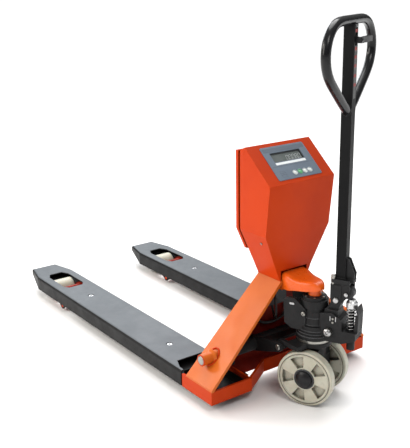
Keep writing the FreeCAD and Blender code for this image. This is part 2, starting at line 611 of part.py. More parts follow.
# ---------------------------------------------------------- steered pump unit
# axle block, lower cylinder, upper cylinder, pump chamber on the operator side
axle_block = fuse([px([(-34, 64), (34, 64), (40, 80), (40, 150), (30, 180), (-30, 180), (-40, 150), (-40, 80)], -44, 44),
                   cz(40, 0, 0, 150, 262), cx(24, 0, WH_R, -48, 48)])
upper = [cz(57, 0, 0, 217.3, 232), cz(53, 0, 0, 232, 240), cz(50, 0, 0, 240, 262), cz(42, 0, 0, 262, 312)]
# valve and pump chamber block
chamber = fuse([px([(-30, 220), (-104, 220), (-148, 238), (-148, 262), (-104, 262), (-100, 300), (-70, 318), (-30, 312)], -34, 34),
                cz(13.0, 0, PL_Y, 194, 245)])
# handle lug between the clevis cheeks
lug = hull2(PIV_Y, PIV_Z, 16, -64, 312, 16, -18, 18)
lug = fuse([lug, px([(-90, 300), (-86, 326), (-44, 326), (-40, 300)], -26, 26)])
# curved guard on the operator side of the plunger
gd = px([(-146, 248), (-151.5, 262), (-153, 322), (-147, 345), (-143.5, 343), (-148.5, 321), (-147.5, 262), (-142, 256)], -24, 24)
gd = fuse([gd, px([(-148, 255), (-149.5, 321), (-143, 321), (-139, 258)], -24, -21), px([(-148, 255), (-149.5, 321), (-143, 321), (-139, 258)], 21, 24)])
# flat side bosses that carry the valve block, towards the forks
sb = [px([(14, 246), (62, 246), (86, 262), (90, 340), (76, 349), (52, 349), (36, 336), (14, 318)], -44, 44)]
sb_cut = box(-30, 30, 44, 100, 270, 380)
pump = fuse([axle_block] + upper + [chamber, lug, gd] + [cut(sb[0], [sb_cut])])
pump = pump.cut(cz(20.0, 0, 0, 200, 400))              # ram cylinder
pump = pump.cut(cx(AX_R, 0, WH_R, -60, 60))            # axle bore
pump = pump.cut(cx(8.5, PIV_Y, PIV_Z, -60, 60))        # handle pivot bore
pump = pump.cut(cz(9.26, 0, PL_Y, 200, 270))           # plunger bore
pump = pump.cut(cz(17.6, 0, PL_Y, 258, 275))           # spring pocket
pump = pump.cut(cz(45.0, 0, 0, 312, 400))
node("pump_body", steer(pump))
gland = fuse([cz(41, 0, 0, 312, 322), cz(44.0, 0, 0, 322, 346), cz(38, 0, 0, 346, 356)]).cut(cz(17.56, 0, 0, 300, 360))
gland = fillet(gland, 2.0, lambda e: e.Length > 230 and e.BoundBox.ZMin > 340)
node("ram_gland", steer(gland))
# visible fasteners of the pump: side bolts, plug, valve screws
pf = [cx(13, -60, 254, -44, -34), cx(13, -60, 254, 34, 44),
      cx(5.2, 20, 304, -48, -44), cx(5.2, 20, 304, 44, 48),
      cx(3.2, -74, 300, -37, -34), cx(3.2, -74, 288, -37, -34)]
node("pump_bolts", steer(Part.makeCompound(pf)))
axle = fuse([cx(AX_R, 0, WH_R, -WH_OUT - 2, WH_OUT + 2)])
node("steer_axle", steer(axle))
node("handle_pivot_pin", steer(fuse([cx(8.5, PIV_Y, PIV_Z, -31.5, 31.5), Part.makeCone(8.5, 7.1, 1.2, V(31.5, PIV_Y, PIV_Z), V(1, 0, 0)),
                                     Part.makeCone(8.5, 7.1, 1.2, V(-31.5, PIV_Y, PIV_Z), V(-1, 0, 0))])))


# ------------------------------------------------------------- steering wheels
def steer_wheel():
    x0, x1 = -WH_W / 2, WH_W / 2
    w = cx(WH_R, 0, WH_R, x0, x1)
    w = fillet(w, 3.5, lambda e: e.Length > 400)
    pockets = []
    for i in range(5):
        a0, a1 = math.radians(72 * i + 51), math.radians(72 * i + 87)
        p = []
        r_o, r_i = 76.0, 38.0
        for j in range(7):
            a = a0 + (a1 - a0) * j / 6
            p.append((r_o * math.cos(a), WH_R + r_o * math.sin(a)))
        b0, b1 = a0 + 0.04, a1 - 0.04
        for j in range(5):
            a = b1 + (b0 - b1) * j / 4
            p.append((r_i * math.cos(a), WH_R + r_i * math.sin(a)))
        pockets.append(px(p, x0 - 1, -3.5))
        pockets.append(px(p, 3.5, x1 + 1))
    w = cut(w, pockets)
    w = w.cut(cx(22.0, 0, WH_R, x0 - 1, x1 + 1))
    return w


SW = steer_wheel()
for name, s_ in (("left", -1), ("right", 1)):
    xc = s_ * (WH_OUT - WH_W / 2)
    node("steer_wheel_" + name, steer(move(SW, xc)))
    br = cx(22.0, 0, WH_R, xc - 14, xc + 14).cut(cx(AX_R + 0.05, 0, WH_R, xc - 15, xc + 15))
    node("wheel_bearings_" + name, steer(br))
    # domed cap over the axle end
    rc, hc = 27.0, 9.0
    R = (rc * rc + hc * hc) / (2 * hc)
    xo = s_ * (WH_OUT + 1.0)
    xe = xo + s_ * 5.0
    dome = Part.makeSphere(R, V(xe + s_ * (hc - R), 0, WH_R)).common(cx(rc, 0, WH_R, min(xe, xe + s_ * 20), max(xe, xe + s_ * 20)))
    rim = cx(rc, 0, WH_R, min(xo, xe), max(xo, xe))
    cap = fuse([rim, dome])
    cap = cap.cut(cx(AX_R + 1.5, 0, WH_R, min(xo - s_ * 1, xo + s_ * 3), max(xo - s_ * 1, xo + s_ * 3)))
    node("hub_cap_" + name, steer(cap))


# -------------------------------------------------------------------- plunger
pl = fuse([cz(9.2, 0, PL_Y, 246, 336), cz(18, 0, PL_Y, 336, 354), Part.makeCone(18, 14, 5, V(0, PL_Y, 354), V(0, 0, 1)),
           cz(13, 0, PL_Y, 359, 363.8)])
node("plunger", steer(pl))


def coil(r, wire, z0, z1, turns, x, y):
    pitch = (z1 - z0) / turns
    helix = Part.makeHelix(pitch, z1 - z0, r)
    h = Part.Wire(helix)
    h.translate(V(x, y, z0))
    prof = Part.Wire([Part.makeCircle(wire, V(x + r, y, z0), V(0, 1, 0))])
    return h.makePipeShell([prof], True, True)


node("plunger_spring", steer(coil(14.0, 1.9, 260.3, 333.8, 7, 0, PL_Y)))

# --------------------------------------------------------------------- handle
TW2 = TUBE / 2
FL0, FL1 = 419.0, 431.0      # top flange of the foot casting
CL_Y, CL_Z = -97.0, 1153.0   # control lever's pin
tube = box(-TW2, TW2, TUBE_Y - TW2, TUBE_Y + TW2, FL1, TUBE_TOP).cut(box(-TW2 + 3, TW2 - 3, TUBE_Y - TW2 + 3, TUBE_Y + TW2 - 3, FL1 - 1, TUBE_TOP - 3))
# slot for the control lever, and the lever's pin across the tube
tube = tube.cut(box(-5, 5, TUBE_Y - TW2 - 1, TUBE_Y - TW2 + 4, CL_Z - 28, CL_Z + 30))
tube = fuse([tube, cx(4.0, CL_Y, CL_Z, -13.5, 13.5)])
node("handle_tube", steer(tube))


def rounded_tube(pts, r):
    edges = []
    n = len(pts)
    for i in range(n - 1):
        edges.append(Part.makeLine(pts[i], pts[i + 1]))
    return edges


def arc_edge(p, t, q):
    """Arc from p to q that leaves p along t."""
    n = V(0, 1, 0).cross(t).normalize()
    h = q - p
    k = 2 * n.dot(h)
    if abs(k) < 1e-4:
        return Part.makeLine(p, q)
    c = p + n * (h.Length ** 2 / k)
    m = c + ((p - c) + (q - c)).normalize() * (p - c).Length
    return Part.Arc(p, m, q).toShape()


def loop_tube():
    """Round tube along a chain of tangent arcs through the LOOP points."""
    pts = [V(-x, TUBE_Y, z) for x, z in LOOP] + [V(0, TUBE_Y, LOOP_TOP)] + [V(x, TUBE_Y, z) for x, z in reversed(LOOP)]
    bs = Part.BSplineCurve()
    bs.interpolate(pts)
    tans = [V(*bs.tangent(bs.parameter(p))[0]).normalize() for p in pts]
    edges = []
    for p0, p1, t0, t1 in zip(pts, pts[1:], tans, tans[1:]):
        v = p1 - p0
        t = t0 + t1
        k = 2 * (1 - t0.dot(t1))
        if k > 1e-9:
            d = (-v.dot(t) + math.sqrt(v.dot(t) ** 2 + k * v.dot(v))) / k
        else:
            d = v.dot(v) / (4 * v.dot(t1))
        j = ((p0 + t0 * d) + (p1 - t1 * d)) * 0.5
        e1 = arc_edge(p0, t0, j)
        tj = ((p1 - t1 * d) - (p0 + t0 * d)).normalize()
        edges += [e1, arc_edge(j, tj, p1)]
    w = Part.Wire(edges)
    prof = Part.Face(Part.Wire([Part.makeCircle(LOOP_R, pts[0], tans[0])]))
    return w.makePipe(prof)


lp = loop_tube()
lp = lp.cut(box(-TW2, TW2, TUBE_Y - TW2, TUBE_Y + TW2, 900, TUBE_TOP))
lp_solids = [s for s in lp.Solids if s.Volume > 1000]
node("handle_loop", steer(lp_solids[0] if len(lp_solids) == 1 else Part.makeCompound(lp_solids)))

# foot casting of the handle: flange, gussets and clevis cheeks
ft = [pz([(-29, -66), (-23, -60), (23, -60), (29, -66), (29, -114), (22, -121), (14, -121), (12, -130), (-12, -130), (-14, -121), (-22, -121), (-29, -114)], FL0, FL1),
      box(-26, 26, -119, -62, FL0 - 5, FL0)]
chk = [(-60, FL0 - 5), (-120, FL0 - 5), (-122, 404), (-121, 382), (-108, 366), (-94, 350), (-86, 345), (-74, 345), (-64, 352), (-60, 366)]
pad = [(-61, FL0 - 7), (-95, FL0 - 7), (-96, 358), (-88, 347), (-74, 347), (-65, 353), (-61, 366)]
for s_ in (-1, 1):
    xa, xb = sorted((s_ * 18.5, s_ * 27.0))
    ft.append(px(chk, xa, xb))
    xa, xb = sorted((s_ * 27.0, s_ * 29.5))
    ft.append(px(pad, xa, xb))
ft.append(box(-18.5, 18.5, -74, -60, 404, FL0 - 5))
# gusset ribs at the root of the tube
for s_ in (-1, 1):
    xa, xb = sorted((s_ * 5.0, s_ * 11.0))
    ft.append(px([(-104, FL1), (-129, FL1), (-131, 449), (-112, 494), (-104, 497)], xa, xb))
ft.append(px([(-104, FL1), (-120, FL1), (-116, 462), (-104, 474)], -5, 5))
foot = fuse(ft)
foot = foot.cut(cx(8.56, PIV_Y, PIV_Z, -60, 60))
foot = foot.cut(cx(6.0, ROL_Y, ROL_Z, -60, 60))
FOOT_BOLTS = ((-22.5, -67.0), (22.5, -113.0))
for bx, by in FOOT_BOLTS:
    foot = foot.cut(cz(5.0, bx, by, FL0 - 9, FL1 + 1))
node("handle_foot", steer(foot))
hb = []
for bx, by in FOOT_BOLTS:
    hb.append(fuse([hexbolt(bx, by, FL1 + 2, 13, 9), cz(7.8, bx, by, FL1, FL1 + 2), cz(5.0, bx, by, FL0 - 9, FL1)]))
node("handle_bolts", steer(Part.makeCompound(hb)))
node("cam_roller_pin", steer(cx(6.0, ROL_Y, ROL_Z, -29.5, 29.5)))
node("cam_roller", steer(fillet(cx(ROL_R, ROL_Y, ROL_Z, -12.5, 12.5), 2, lambda e: e.Length > 100).cut(cx(6.05, ROL_Y, ROL_Z, -20, 20))))

# control lever: blade in the tube's slot with a finger bar to the right
cl = fuse([hull2(CL_Y, CL_Z, 10, CL_Y - 20, CL_Z - 3, 8, -4.4, 4.4),
           px([(CL_Y - 26, CL_Z - 11), (CL_Y - 12, CL_Z - 11), (CL_Y - 12, CL_Z + 5), (CL_Y - 26, CL_Z + 5)], -4.4, 92)])
cl = fillet(cl, 3.0, lambda e: e.Length > 80)
cl = cl.cut(cx(4.05, CL_Y, CL_Z, -10, 10))
node("control_lever", steer(cl))
# release lever of the lowering valve, on the pump's chamber
RV_Y, RV_Z = -60.0, 288.0
rv = fuse([hull2(RV_Y, RV_Z, 9, RV_Y - 34, RV_Z + 4, 6, 45.5, 51.5)]).cut(cx(5.05, RV_Y, RV_Z, 40, 60))
node("release_lever", steer(rv))
pf.append(fuse([cx(5.0, RV_Y, RV_Z, 34, 53), cx(8.0, RV_Y, RV_Z, 53, 55)]))
node("pump_bolts", steer(Part.makeCompound(pf)))

# ---------------------------------------------------------------------- export
os.makedirs("parts", exist_ok=True)
tot = None
for name, s in NODES.items():
    s = s.copy()
    s.translate(V(0, Y_SHIFT, 0))
    sol = s.Solids
    if not sol:
        print("NO SOLID", name)
        continue
    out = sol[0] if len(sol) == 1 else Part.makeCompound(sol)
    bb = out.BoundBox
    tot = bb if tot is None else tot.united(bb)
    if not out.isValid() or any(q.Volume <= 0 for q in sol):
        print("INVALID", name)
    out.exportStep("parts/%s.step" % name)
print(len(NODES), "nodes; box", [round(v, 3) for v in (tot.XMin, tot.XMax, tot.YMin, tot.YMax, tot.ZMin, tot.ZMax)])
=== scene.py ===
import bpy
import bmesh
import math
import random
from mathutils import Matrix, Vector

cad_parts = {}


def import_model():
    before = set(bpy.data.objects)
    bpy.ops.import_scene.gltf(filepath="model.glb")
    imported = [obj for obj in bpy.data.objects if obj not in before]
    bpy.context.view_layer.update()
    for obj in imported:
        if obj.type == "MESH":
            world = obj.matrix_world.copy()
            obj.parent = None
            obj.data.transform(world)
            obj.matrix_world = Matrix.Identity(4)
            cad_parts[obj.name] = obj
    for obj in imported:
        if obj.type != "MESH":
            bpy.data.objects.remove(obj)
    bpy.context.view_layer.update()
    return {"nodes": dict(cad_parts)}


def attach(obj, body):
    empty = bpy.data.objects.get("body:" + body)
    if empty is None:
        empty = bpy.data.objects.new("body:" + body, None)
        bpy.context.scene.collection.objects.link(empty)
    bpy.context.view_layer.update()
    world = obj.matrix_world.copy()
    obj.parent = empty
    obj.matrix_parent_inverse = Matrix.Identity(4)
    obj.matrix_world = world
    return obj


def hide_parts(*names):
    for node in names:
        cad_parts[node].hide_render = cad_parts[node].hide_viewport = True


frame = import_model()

random.seed(7)
N = frame["nodes"]
COL = bpy.context.scene.collection
Y_SHIFT = -250.745
STEER_Y = -401.5
DELTA = math.radians(25.0)
CD, SD = math.cos(DELTA), math.sin(DELTA)


def W(x, y, z):
    """Design millimetres to row-frame metres."""
    return Vector((x, y + Y_SHIFT, z)) / 1000.0


def S(x, y, z):
    """Steered unit's millimetres to row-frame metres."""
    return Vector((x * CD - y * SD, STEER_Y + x * SD + y * CD + Y_SHIFT, z)) / 1000.0


# ------------------------------------------------------------------ materials
def srgb(r, g, b):
    f = lambda c: (c / 255 / 12.92) if c <= 10.3 else ((c / 255 + 0.055) / 1.055) ** 2.4
    return (f(r), f(g), f(b), 1.0)


class M:
    """Small builder for node materials."""

    def __init__(self, name):
        self.m = bpy.data.materials.new(name)
        self.m.use_nodes = True
        self.t = self.m.node_tree
        self.b = self.t.nodes["Principled BSDF"]
        self.tc = self.t.nodes.new("ShaderNodeTexCoord")

    def node(self, kind, **kw):
        n = self.t.nodes.new(kind)
        for k, v in kw.items():
            setattr(n, k, v)
        return n

    def link(self, a, b):
        self.t.links.new(a, b)

    def noise(self, scale, detail=3.0, rough=0.5, stretch=None):
        n = self.node("ShaderNodeTexNoise")
        n.inputs["Scale"].default_value = scale
        n.inputs["Detail"].default_value = detail
        n.inputs["Roughness"].default_value = rough
        if stretch:
            mp = self.node("ShaderNodeMapping")
            mp.inputs["Scale"].default_value = stretch
            self.link(self.tc.outputs["Object"], mp.inputs["Vector"])
            self.link(mp.outputs["Vector"], n.inputs["Vector"])
        else:
            self.link(self.tc.outputs["Object"], n.inputs["Vector"])
        return n.outputs["Fac"]

    def ramp(self, fac, lo, hi, a=0.0, b=1.0):
        r = self.node("ShaderNodeMapRange")
        r.interpolation_type = "SMOOTHSTEP"
        r.inputs["From Min"].default_value = lo
        r.inputs["From Max"].default_value = hi
        r.inputs["To Min"].default_value = a
        r.inputs["To Max"].default_value = b
        self.link(fac, r.inputs["Value"])
        return r.outputs["Result"]

    def math(self, op, a, b=None):
        n = self.node("ShaderNodeMath", operation=op)
        for i, v in enumerate((a, b)):
            if v is None:
                continue
            if isinstance(v, (int, float)):
                n.inputs[i].default_value = v
            else:
                self.link(v, n.inputs[i])
        return n.outputs[0]

    def mix(self, fac, a, b):
        n = self.node("ShaderNodeMix", data_type="RGBA")
        if isinstance(fac, (int, float)):
            n.inputs[0].default_value = fac
        else:
            self.link(fac, n.inputs[0])
        for i, v in ((6, a), (7, b)):
            if isinstance(v, (tuple, list)):
                n.inputs[i].default_value = v
            else:
                self.link(v, n.inputs[i])
        return n.outputs[2]

    def edge(self, radius):
        """1 on edges, 0 on flats, from the rounded normal."""
        bv = self.node("ShaderNodeBevel", samples=4)
        bv.inputs["Radius"].default_value = radius
        g = self.node("ShaderNodeNewGeometry")
        d = self.node("ShaderNodeVectorMath", operation="DOT_PRODUCT")
        self.link(bv.outputs[0], d.inputs[0])
        self.link(g.outputs["Normal"], d.inputs[1])
        return self.ramp(d.outputs["Value"], 0.985, 0.86)

    # AO mask: darkening in recesses and between parts, used to paint shade into colours
    def recess_shade_mask(self, dist):
        ao = self.node("ShaderNodeAmbientOcclusion", samples=6)
        ao.inputs["Distance"].default_value = dist
        return self.ramp(ao.outputs["AO"], 0.85, 0.25)

    def pos(self):
        s = self.node("ShaderNodeSeparateXYZ")
        self.link(self.tc.outputs["Object"], s.inputs[0])
        return s.outputs

    def surface(self, height, dist, bevel=0.0, strength=1.0):
        bp = self.node("ShaderNodeBump")
        bp.inputs["Distance"].default_value = dist
        bp.inputs["Strength"].default_value = strength
        self.link(height, bp.inputs["Height"])
        if bevel:
            bv = self.node("ShaderNodeBevel", samples=4)
            bv.inputs["Radius"].default_value = bevel
            self.link(bv.outputs[0], bp.inputs["Normal"])
        self.link(bp.outputs[0], self.b.inputs["Normal"])

    def color(self, c):
        if isinstance(c, tuple):
            self.b.inputs["Base Color"].default_value = c
        else:
            self.link(c, self.b.inputs["Base Color"])

    def rough(self, r):
        if isinstance(r, (int, float)):
            self.b.inputs["Roughness"].default_value = r
        else:
            self.link(r, self.b.inputs["Roughness"])

    def put(self, **kw):
        for k, v in kw.items():
            self.b.inputs[k.replace("_", " ")].default_value = v
        return self


def paint(name, base, dark, worn, rough=(0.32, 0.45), coat=0.5, bevel=0.0012, wear=0.55, recess_grime_and_shade=0.35, peel=0.00012, recess_grime_and_shade_col=(0.02, 0.018, 0.016, 1), spec=0.3):
    m = M(name)
    big = m.noise(5.0, 4.0, 0.6)
    c = m.mix(m.ramp(big, 0.3, 0.7), base, dark)
    # painted shade: recesses darkened by the AO mask toward a dark colour, broken up by noise as grime
    recess_shade_fac = m.recess_shade_mask(0.02)
    c = m.mix(m.math("MULTIPLY", recess_shade_fac, m.ramp(m.noise(40, 5, 0.7), 0.25, 0.75, 0.1, recess_grime_and_shade)), c, recess_grime_and_shade_col)
    e = m.math("MULTIPLY", m.edge(0.0022), m.ramp(m.noise(90, 6, 0.75), 0.5, 0.62))
    c = m.mix(m.math("MULTIPLY", e, wear), c, worn)
    m.color(c)
    m.rough(m.ramp(m.noise(14, 5, 0.65), 0.25, 0.75, rough[0], rough[1]))
    m.surface(m.noise(420, 2, 0.5), peel, bevel)
    m.put(Coat_Weight=coat, Coat_Roughness=0.12, Coat_IOR=1.35, Specular_IOR_Level=spec)
    return m.m


ORANGE = paint("orange_enamel", (0.53, 0.043, 0.002, 1), (0.48, 0.036, 0.002, 1), (0.70, 0.16, 0.04, 1), rough=(0.34, 0.44), coat=0.0, wear=0.4, spec=0.09)
# painted sheen: a brighter, glossier copy of the orange enamel for the straps, which face the light
ORANGE_PAINTED_SHEEN = paint("orange_enamel_painted_sheen", (0.58, 0.125, 0.012, 1), (0.54, 0.102, 0.009, 1), (0.74, 0.22, 0.07, 1), rough=(0.32, 0.42), coat=0.0, wear=0.4, spec=0.24)
# painted shade: a dark copy of the orange enamel for the back plate and the sheet below it, which sit in shade
ORANGE_PAINTED_SHADE = paint("orange_enamel_painted_shade", (0.21, 0.011, 0.004, 1), (0.15, 0.008, 0.003, 1), (0.25, 0.06, 0.03, 1), rough=(0.4, 0.55), coat=0.0, wear=0.5, spec=0.1)
# painted highlight: a brighter, glossier copy of the orange enamel for the lift head's top
ORANGE_HEAD_PAINTED_HIGHLIGHT = paint("orange_enamel_head_painted_highlight", (0.78, 0.115, 0.006, 1), (0.72, 0.098, 0.006, 1), (0.80, 0.22, 0.07, 1), rough=(0.24, 0.34), coat=0.15, wear=0.4, spec=0.3)
# painted shade: a darker copy of the orange enamel for the push rods and roller frames inside the fork
ORANGE_INNER_PAINTED_SHADE = paint("orange_enamel_rough_painted_shade", (0.34, 0.018, 0.004, 1), (0.26, 0.014, 0.004, 1), (0.36, 0.10, 0.04, 1), rough=(0.4, 0.55), coat=0.0, wear=0.5, spec=0.15)
BLACK = paint("black_satin_paint", (0.0085, 0.0087, 0.0092, 1), (0.006, 0.0062, 0.0066, 1), (0.06, 0.06, 0.063, 1), rough=(0.38, 0.5), coat=0.0, wear=0.5,
              recess_grime_and_shade_col=(0.022, 0.020, 0.018, 1), spec=0.08)
GLOSS = paint("black_gloss_paint", (0.007, 0.0073, 0.0085, 1), (0.006, 0.0063, 0.007, 1), (0.05, 0.05, 0.055, 1), rough=(0.18, 0.28), coat=0.28, wear=0.3, spec=0.2,
              peel=0.00004, recess_grime_and_shade_col=(0.03, 0.03, 0.03, 1))


def cast(name, base, dark, light, bump=0.0006):
    m = M(name)
    c = m.mix(m.ramp(m.noise(9, 5, 0.6), 0.3, 0.7), base, dark)
    c = m.mix(m.math("MULTIPLY", m.edge(0.003), m.ramp(m.noise(60, 5, 0.7), 0.4, 0.65, 0.15, 0.8)), c, light)
    # painted shade: recesses darkened toward black by the AO mask
    c = m.mix(m.math("MULTIPLY", m.recess_shade_mask(0.03), 0.5), c, (0.008, 0.008, 0.008, 1))
    m.color(c)
    m.rough(m.ramp(m.noise(25, 4, 0.6), 0.25, 0.75, 0.42, 0.62))
    m.surface(m.noise(230, 4, 0.6), bump, 0.0018, 0.7)
    m.put(Specular_IOR_Level=0.22)
    return m.m


IRON = cast("dark_casting", (0.012, 0.0122, 0.013, 1), (0.0075, 0.0077, 0.0085, 1), (0.055, 0.055, 0.058, 1))
IRON2 = cast("grey_casting", (0.055, 0.056, 0.06, 1), (0.035, 0.036, 0.038, 1), (0.16, 0.16, 0.165, 1))


def steel(name, base, rough, stretch=(6, 6, 90), stain=(0.30, 0.27, 0.22, 1)):
    m = M(name)
    c = m.mix(m.ramp(m.noise(30, 4, 0.6), 0.45, 0.8, 0, 0.55), base, stain)
    # painted shade: recesses darkened toward black by the AO mask
    c = m.mix(m.math("MULTIPLY", m.recess_shade_mask(0.006), 0.7), c, (0.05, 0.05, 0.05, 1))
    m.color(c)
    m.rough(m.ramp(m.noise(12, 5, 0.7, stretch), 0.3, 0.7, rough - 0.07, rough + 0.1))
    m.surface(m.noise(160, 3, 0.6, stretch), 0.00008, 0.0006)
    m.put(Metallic=1.0)
    return m.m


ZINC = steel("zinc_plated_steel", (0.34, 0.335, 0.31, 1), 0.36, stain=(0.17, 0.15, 0.12, 1))
BRIGHT = steel("bright_steel", (0.42, 0.42, 0.425, 1), 0.3, stain=(0.30, 0.30, 0.30, 1))
SPRING = steel("spring_wire", (0.50, 0.50, 0.50, 1), 0.26, stain=(0.25, 0.25, 0.25, 1))
CAP_STEEL = steel("polished_cap_steel", (0.62, 0.63, 0.64, 1), 0.36, stain=(0.42, 0.42, 0.42, 1))
BRONZE = steel("sintered_bronze", (0.52, 0.36, 0.16, 1), 0.4)


def plunger_material():
    """Bright cap above; the rod below is painted dark as the shade inside the spring."""
    m = M("plunger_steel")
    p = m.pos()
    up_ = m.ramp(p[2], 0.3355, 0.3362)
    cap = m.mix(m.ramp(m.noise(40, 4, 0.6), 0.4, 0.8), (0.62, 0.63, 0.64, 1), (0.42, 0.42, 0.42, 1))
    # painted shade: the rod inside the spring coloured near black
    rod_painted_shade = m.mix(m.ramp(m.noise(50, 4, 0.6), 0.4, 0.8), (0.035, 0.035, 0.036, 1), (0.02, 0.02, 0.02, 1))
    m.color(m.mix(up_, rod_painted_shade, cap))
    m.rough(m.ramp(m.noise(30, 5, 0.7, (6, 6, 90)), 0.3, 0.7, 0.3, 0.45))
    m.surface(m.noise(160, 3, 0.6, (6, 6, 90)), 0.00008, 0.0006)
    m.put(Metallic=1.0)
    return m.m


PLUNGER = plunger_material()


def cover_material():
    """Grey powder coat on the top, black on the flanks of a weigh cover."""
    m = M("weigh_cover_coat")
    p = m.pos()
    fuzz = m.math("MULTIPLY", m.math("SUBTRACT", m.noise(120, 4, 0.6), 0.5), 0.0007)
    top = m.ramp(m.math("ADD", p[2], fuzz), 0.0866, 0.0872)
    grey = m.mix(m.ramp(m.noise(3.2, 5, 0.6), 0.3, 0.7), (0.128, 0.141, 0.155, 1), (0.108, 0.121, 0.134, 1))
    # rub marks that pallets leave along the fork
    rub = m.ramp(m.noise(7, 6, 0.75, (14.0, 1.2, 1.0)), 0.60, 0.80)
    grey = m.mix(m.math("MULTIPLY", rub, 0.32), grey, (0.15, 0.165, 0.175, 1))
    scuff = m.ramp(m.noise(26, 7, 0.8, (5.0, 0.8, 1.0)), 0.64, 0.74)
    grey = m.mix(m.math("MULTIPLY", scuff, 0.22), grey, (0.055, 0.062, 0.068, 1))
    blk = m.mix(m.ramp(m.noise(6, 4, 0.6), 0.3, 0.7), (0.009, 0.0092, 0.0098, 1), (0.012, 0.012, 0.0125, 1))
    c = m.mix(top, blk, grey)
    e = m.math("MULTIPLY", m.edge(0.003), m.ramp(m.noise(70, 6, 0.75), 0.45, 0.6))
    c = m.mix(m.math("MULTIPLY", e, 0.35), c, (0.16, 0.17, 0.18, 1))
    # painted shade: recesses darkened toward black by the AO mask
    c = m.mix(m.math("MULTIPLY", m.recess_shade_mask(0.015), 0.45), c, (0.012, 0.012, 0.012, 1))
    m.color(c)
    m.rough(m.ramp(m.noise(18, 6, 0.7), 0.25, 0.75, 0.36, 0.54))
    m.surface(m.noise(520, 3, 0.55), 0.00012, 0.0016)
    m.put(Specular_IOR_Level=0.12)
    return m.m


COVER = cover_material()


def nylon_material():
    m = M("cast_nylon")
    c = m.mix(m.ramp(m.noise(12, 4, 0.6), 0.3, 0.7), (0.54, 0.525, 0.435, 1), (0.46, 0.44, 0.35, 1))
    c = m.mix(m.math("MULTIPLY", m.ramp(m.noise(45, 6, 0.75), 0.52, 0.72), 0.25), c, (0.20, 0.17, 0.12, 1))
    # painted shade: brownish darkening in the wheel pockets and recesses from the AO mask
    c = m.mix(m.math("MULTIPLY", m.recess_shade_mask(0.026), 0.95), c, (0.055, 0.042, 0.026, 1))
    # painted highlight: edges and rims lightened toward pale nylon
    e = m.edge(0.003)
    c = m.mix(m.math("MULTIPLY", e, 0.45), c, (0.52, 0.50, 0.43, 1))
    m.color(c)
    m.rough(m.ramp(m.noise(30, 5, 0.6), 0.25, 0.75, 0.30, 0.46))
    m.surface(m.noise(200, 3, 0.6), 0.00012, 0.0016)
    m.put(Subsurface_Weight=0.12, Subsurface_Scale=0.004, Specular_IOR_Level=0.3)
    return m.m


NYLON = nylon_material()
TREAD = cast("tread_grime", (0.20, 0.185, 0.15, 1), (0.13, 0.12, 0.095, 1), (0.3, 0.28, 0.23, 1), 0.0003)


def plastic(name, base, dark, rough=0.42, bump=0.00006, scale=600, spec=0.5, wear=(0.1, 0.1, 0.1, 1)):
    m = M(name)
    c = m.mix(m.ramp(m.noise(20, 4, 0.6), 0.3, 0.7), base, dark)
    c = m.mix(m.math("MULTIPLY", m.edge(0.0012), 0.25), c, wear)
    m.color(c)
    m.rough(m.ramp(m.noise(50, 4, 0.6), 0.3, 0.7, rough - 0.06, rough + 0.08))
    m.surface(m.noise(scale, 2, 0.5), bump, 0.0008)
    m.put(Specular_IOR_Level=spec)
    return m.m


BLK_PLASTIC = plastic("black_moulding", (0.008, 0.008, 0.009, 1), (0.012, 0.012, 0.013, 1), 0.34, spec=0.25, wear=(0.05, 0.05, 0.05, 1))
CABLE = plastic("cable_sheath", (0.012, 0.012, 0.012, 1), (0.018, 0.018, 0.018, 1), 0.5)
OVERLAY = plastic("overlay_film", (0.125, 0.165, 0.215, 1), (0.112, 0.150, 0.198, 1), 0.40, bump=0.00003, wear=(0.2, 0.24, 0.28, 1))
OVERLAY_DK = plastic("overlay_print_dark", (0.085, 0.115, 0.155, 1), (0.078, 0.105, 0.142, 1), 0.42, bump=0.00003, wear=(0.15, 0.18, 0.2, 1))
BEZEL = plastic("lcd_bezel", (0.030, 0.034, 0.038, 1), (0.04, 0.044, 0.048, 1), 0.35)
WHITE_PRINT = plastic("white_print", (0.86, 0.89, 0.90, 1), (0.80, 0.83, 0.84, 1), 0.42, wear=(0.6, 0.6, 0.6, 1))
KEY_W = plastic("key_cap_white", (0.80, 0.84, 0.83, 1), (0.74, 0.79, 0.78, 1), 0.3, wear=(0.8, 0.8, 0.8, 1))
KEY_G = plastic("key_cap_green", (0.16, 0.50, 0.24, 1), (0.13, 0.44, 0.20, 1), 0.3, wear=(0.5, 0.7, 0.6, 1))
LCD = plastic("lcd_glass", (0.120, 0.140, 0.135, 1), (0.100, 0.118, 0.113, 1), 0.16, bump=0.00001, spec=0.7)
LCD_INK = plastic("lcd_segments", (0.46, 0.49, 0.49, 1), (0.43, 0.46, 0.455, 1), 0.3)
BOARD = plastic("solder_mask", (0.02, 0.16, 0.06, 1), (0.015, 0.12, 0.05, 1), 0.35)
RED_BAR = plastic("red_print", (0.30, 0.018, 0.014, 1), (0.24, 0.015, 0.012, 1), 0.5)
GREY_BAR = plastic("grey_print", (0.06, 0.062, 0.058, 1), (0.05, 0.05, 0.048, 1), 0.5)
STRIP = plastic("handle_strip_film", (0.022, 0.023, 0.025, 1), (0.028, 0.028, 0.03, 1), 0.38)

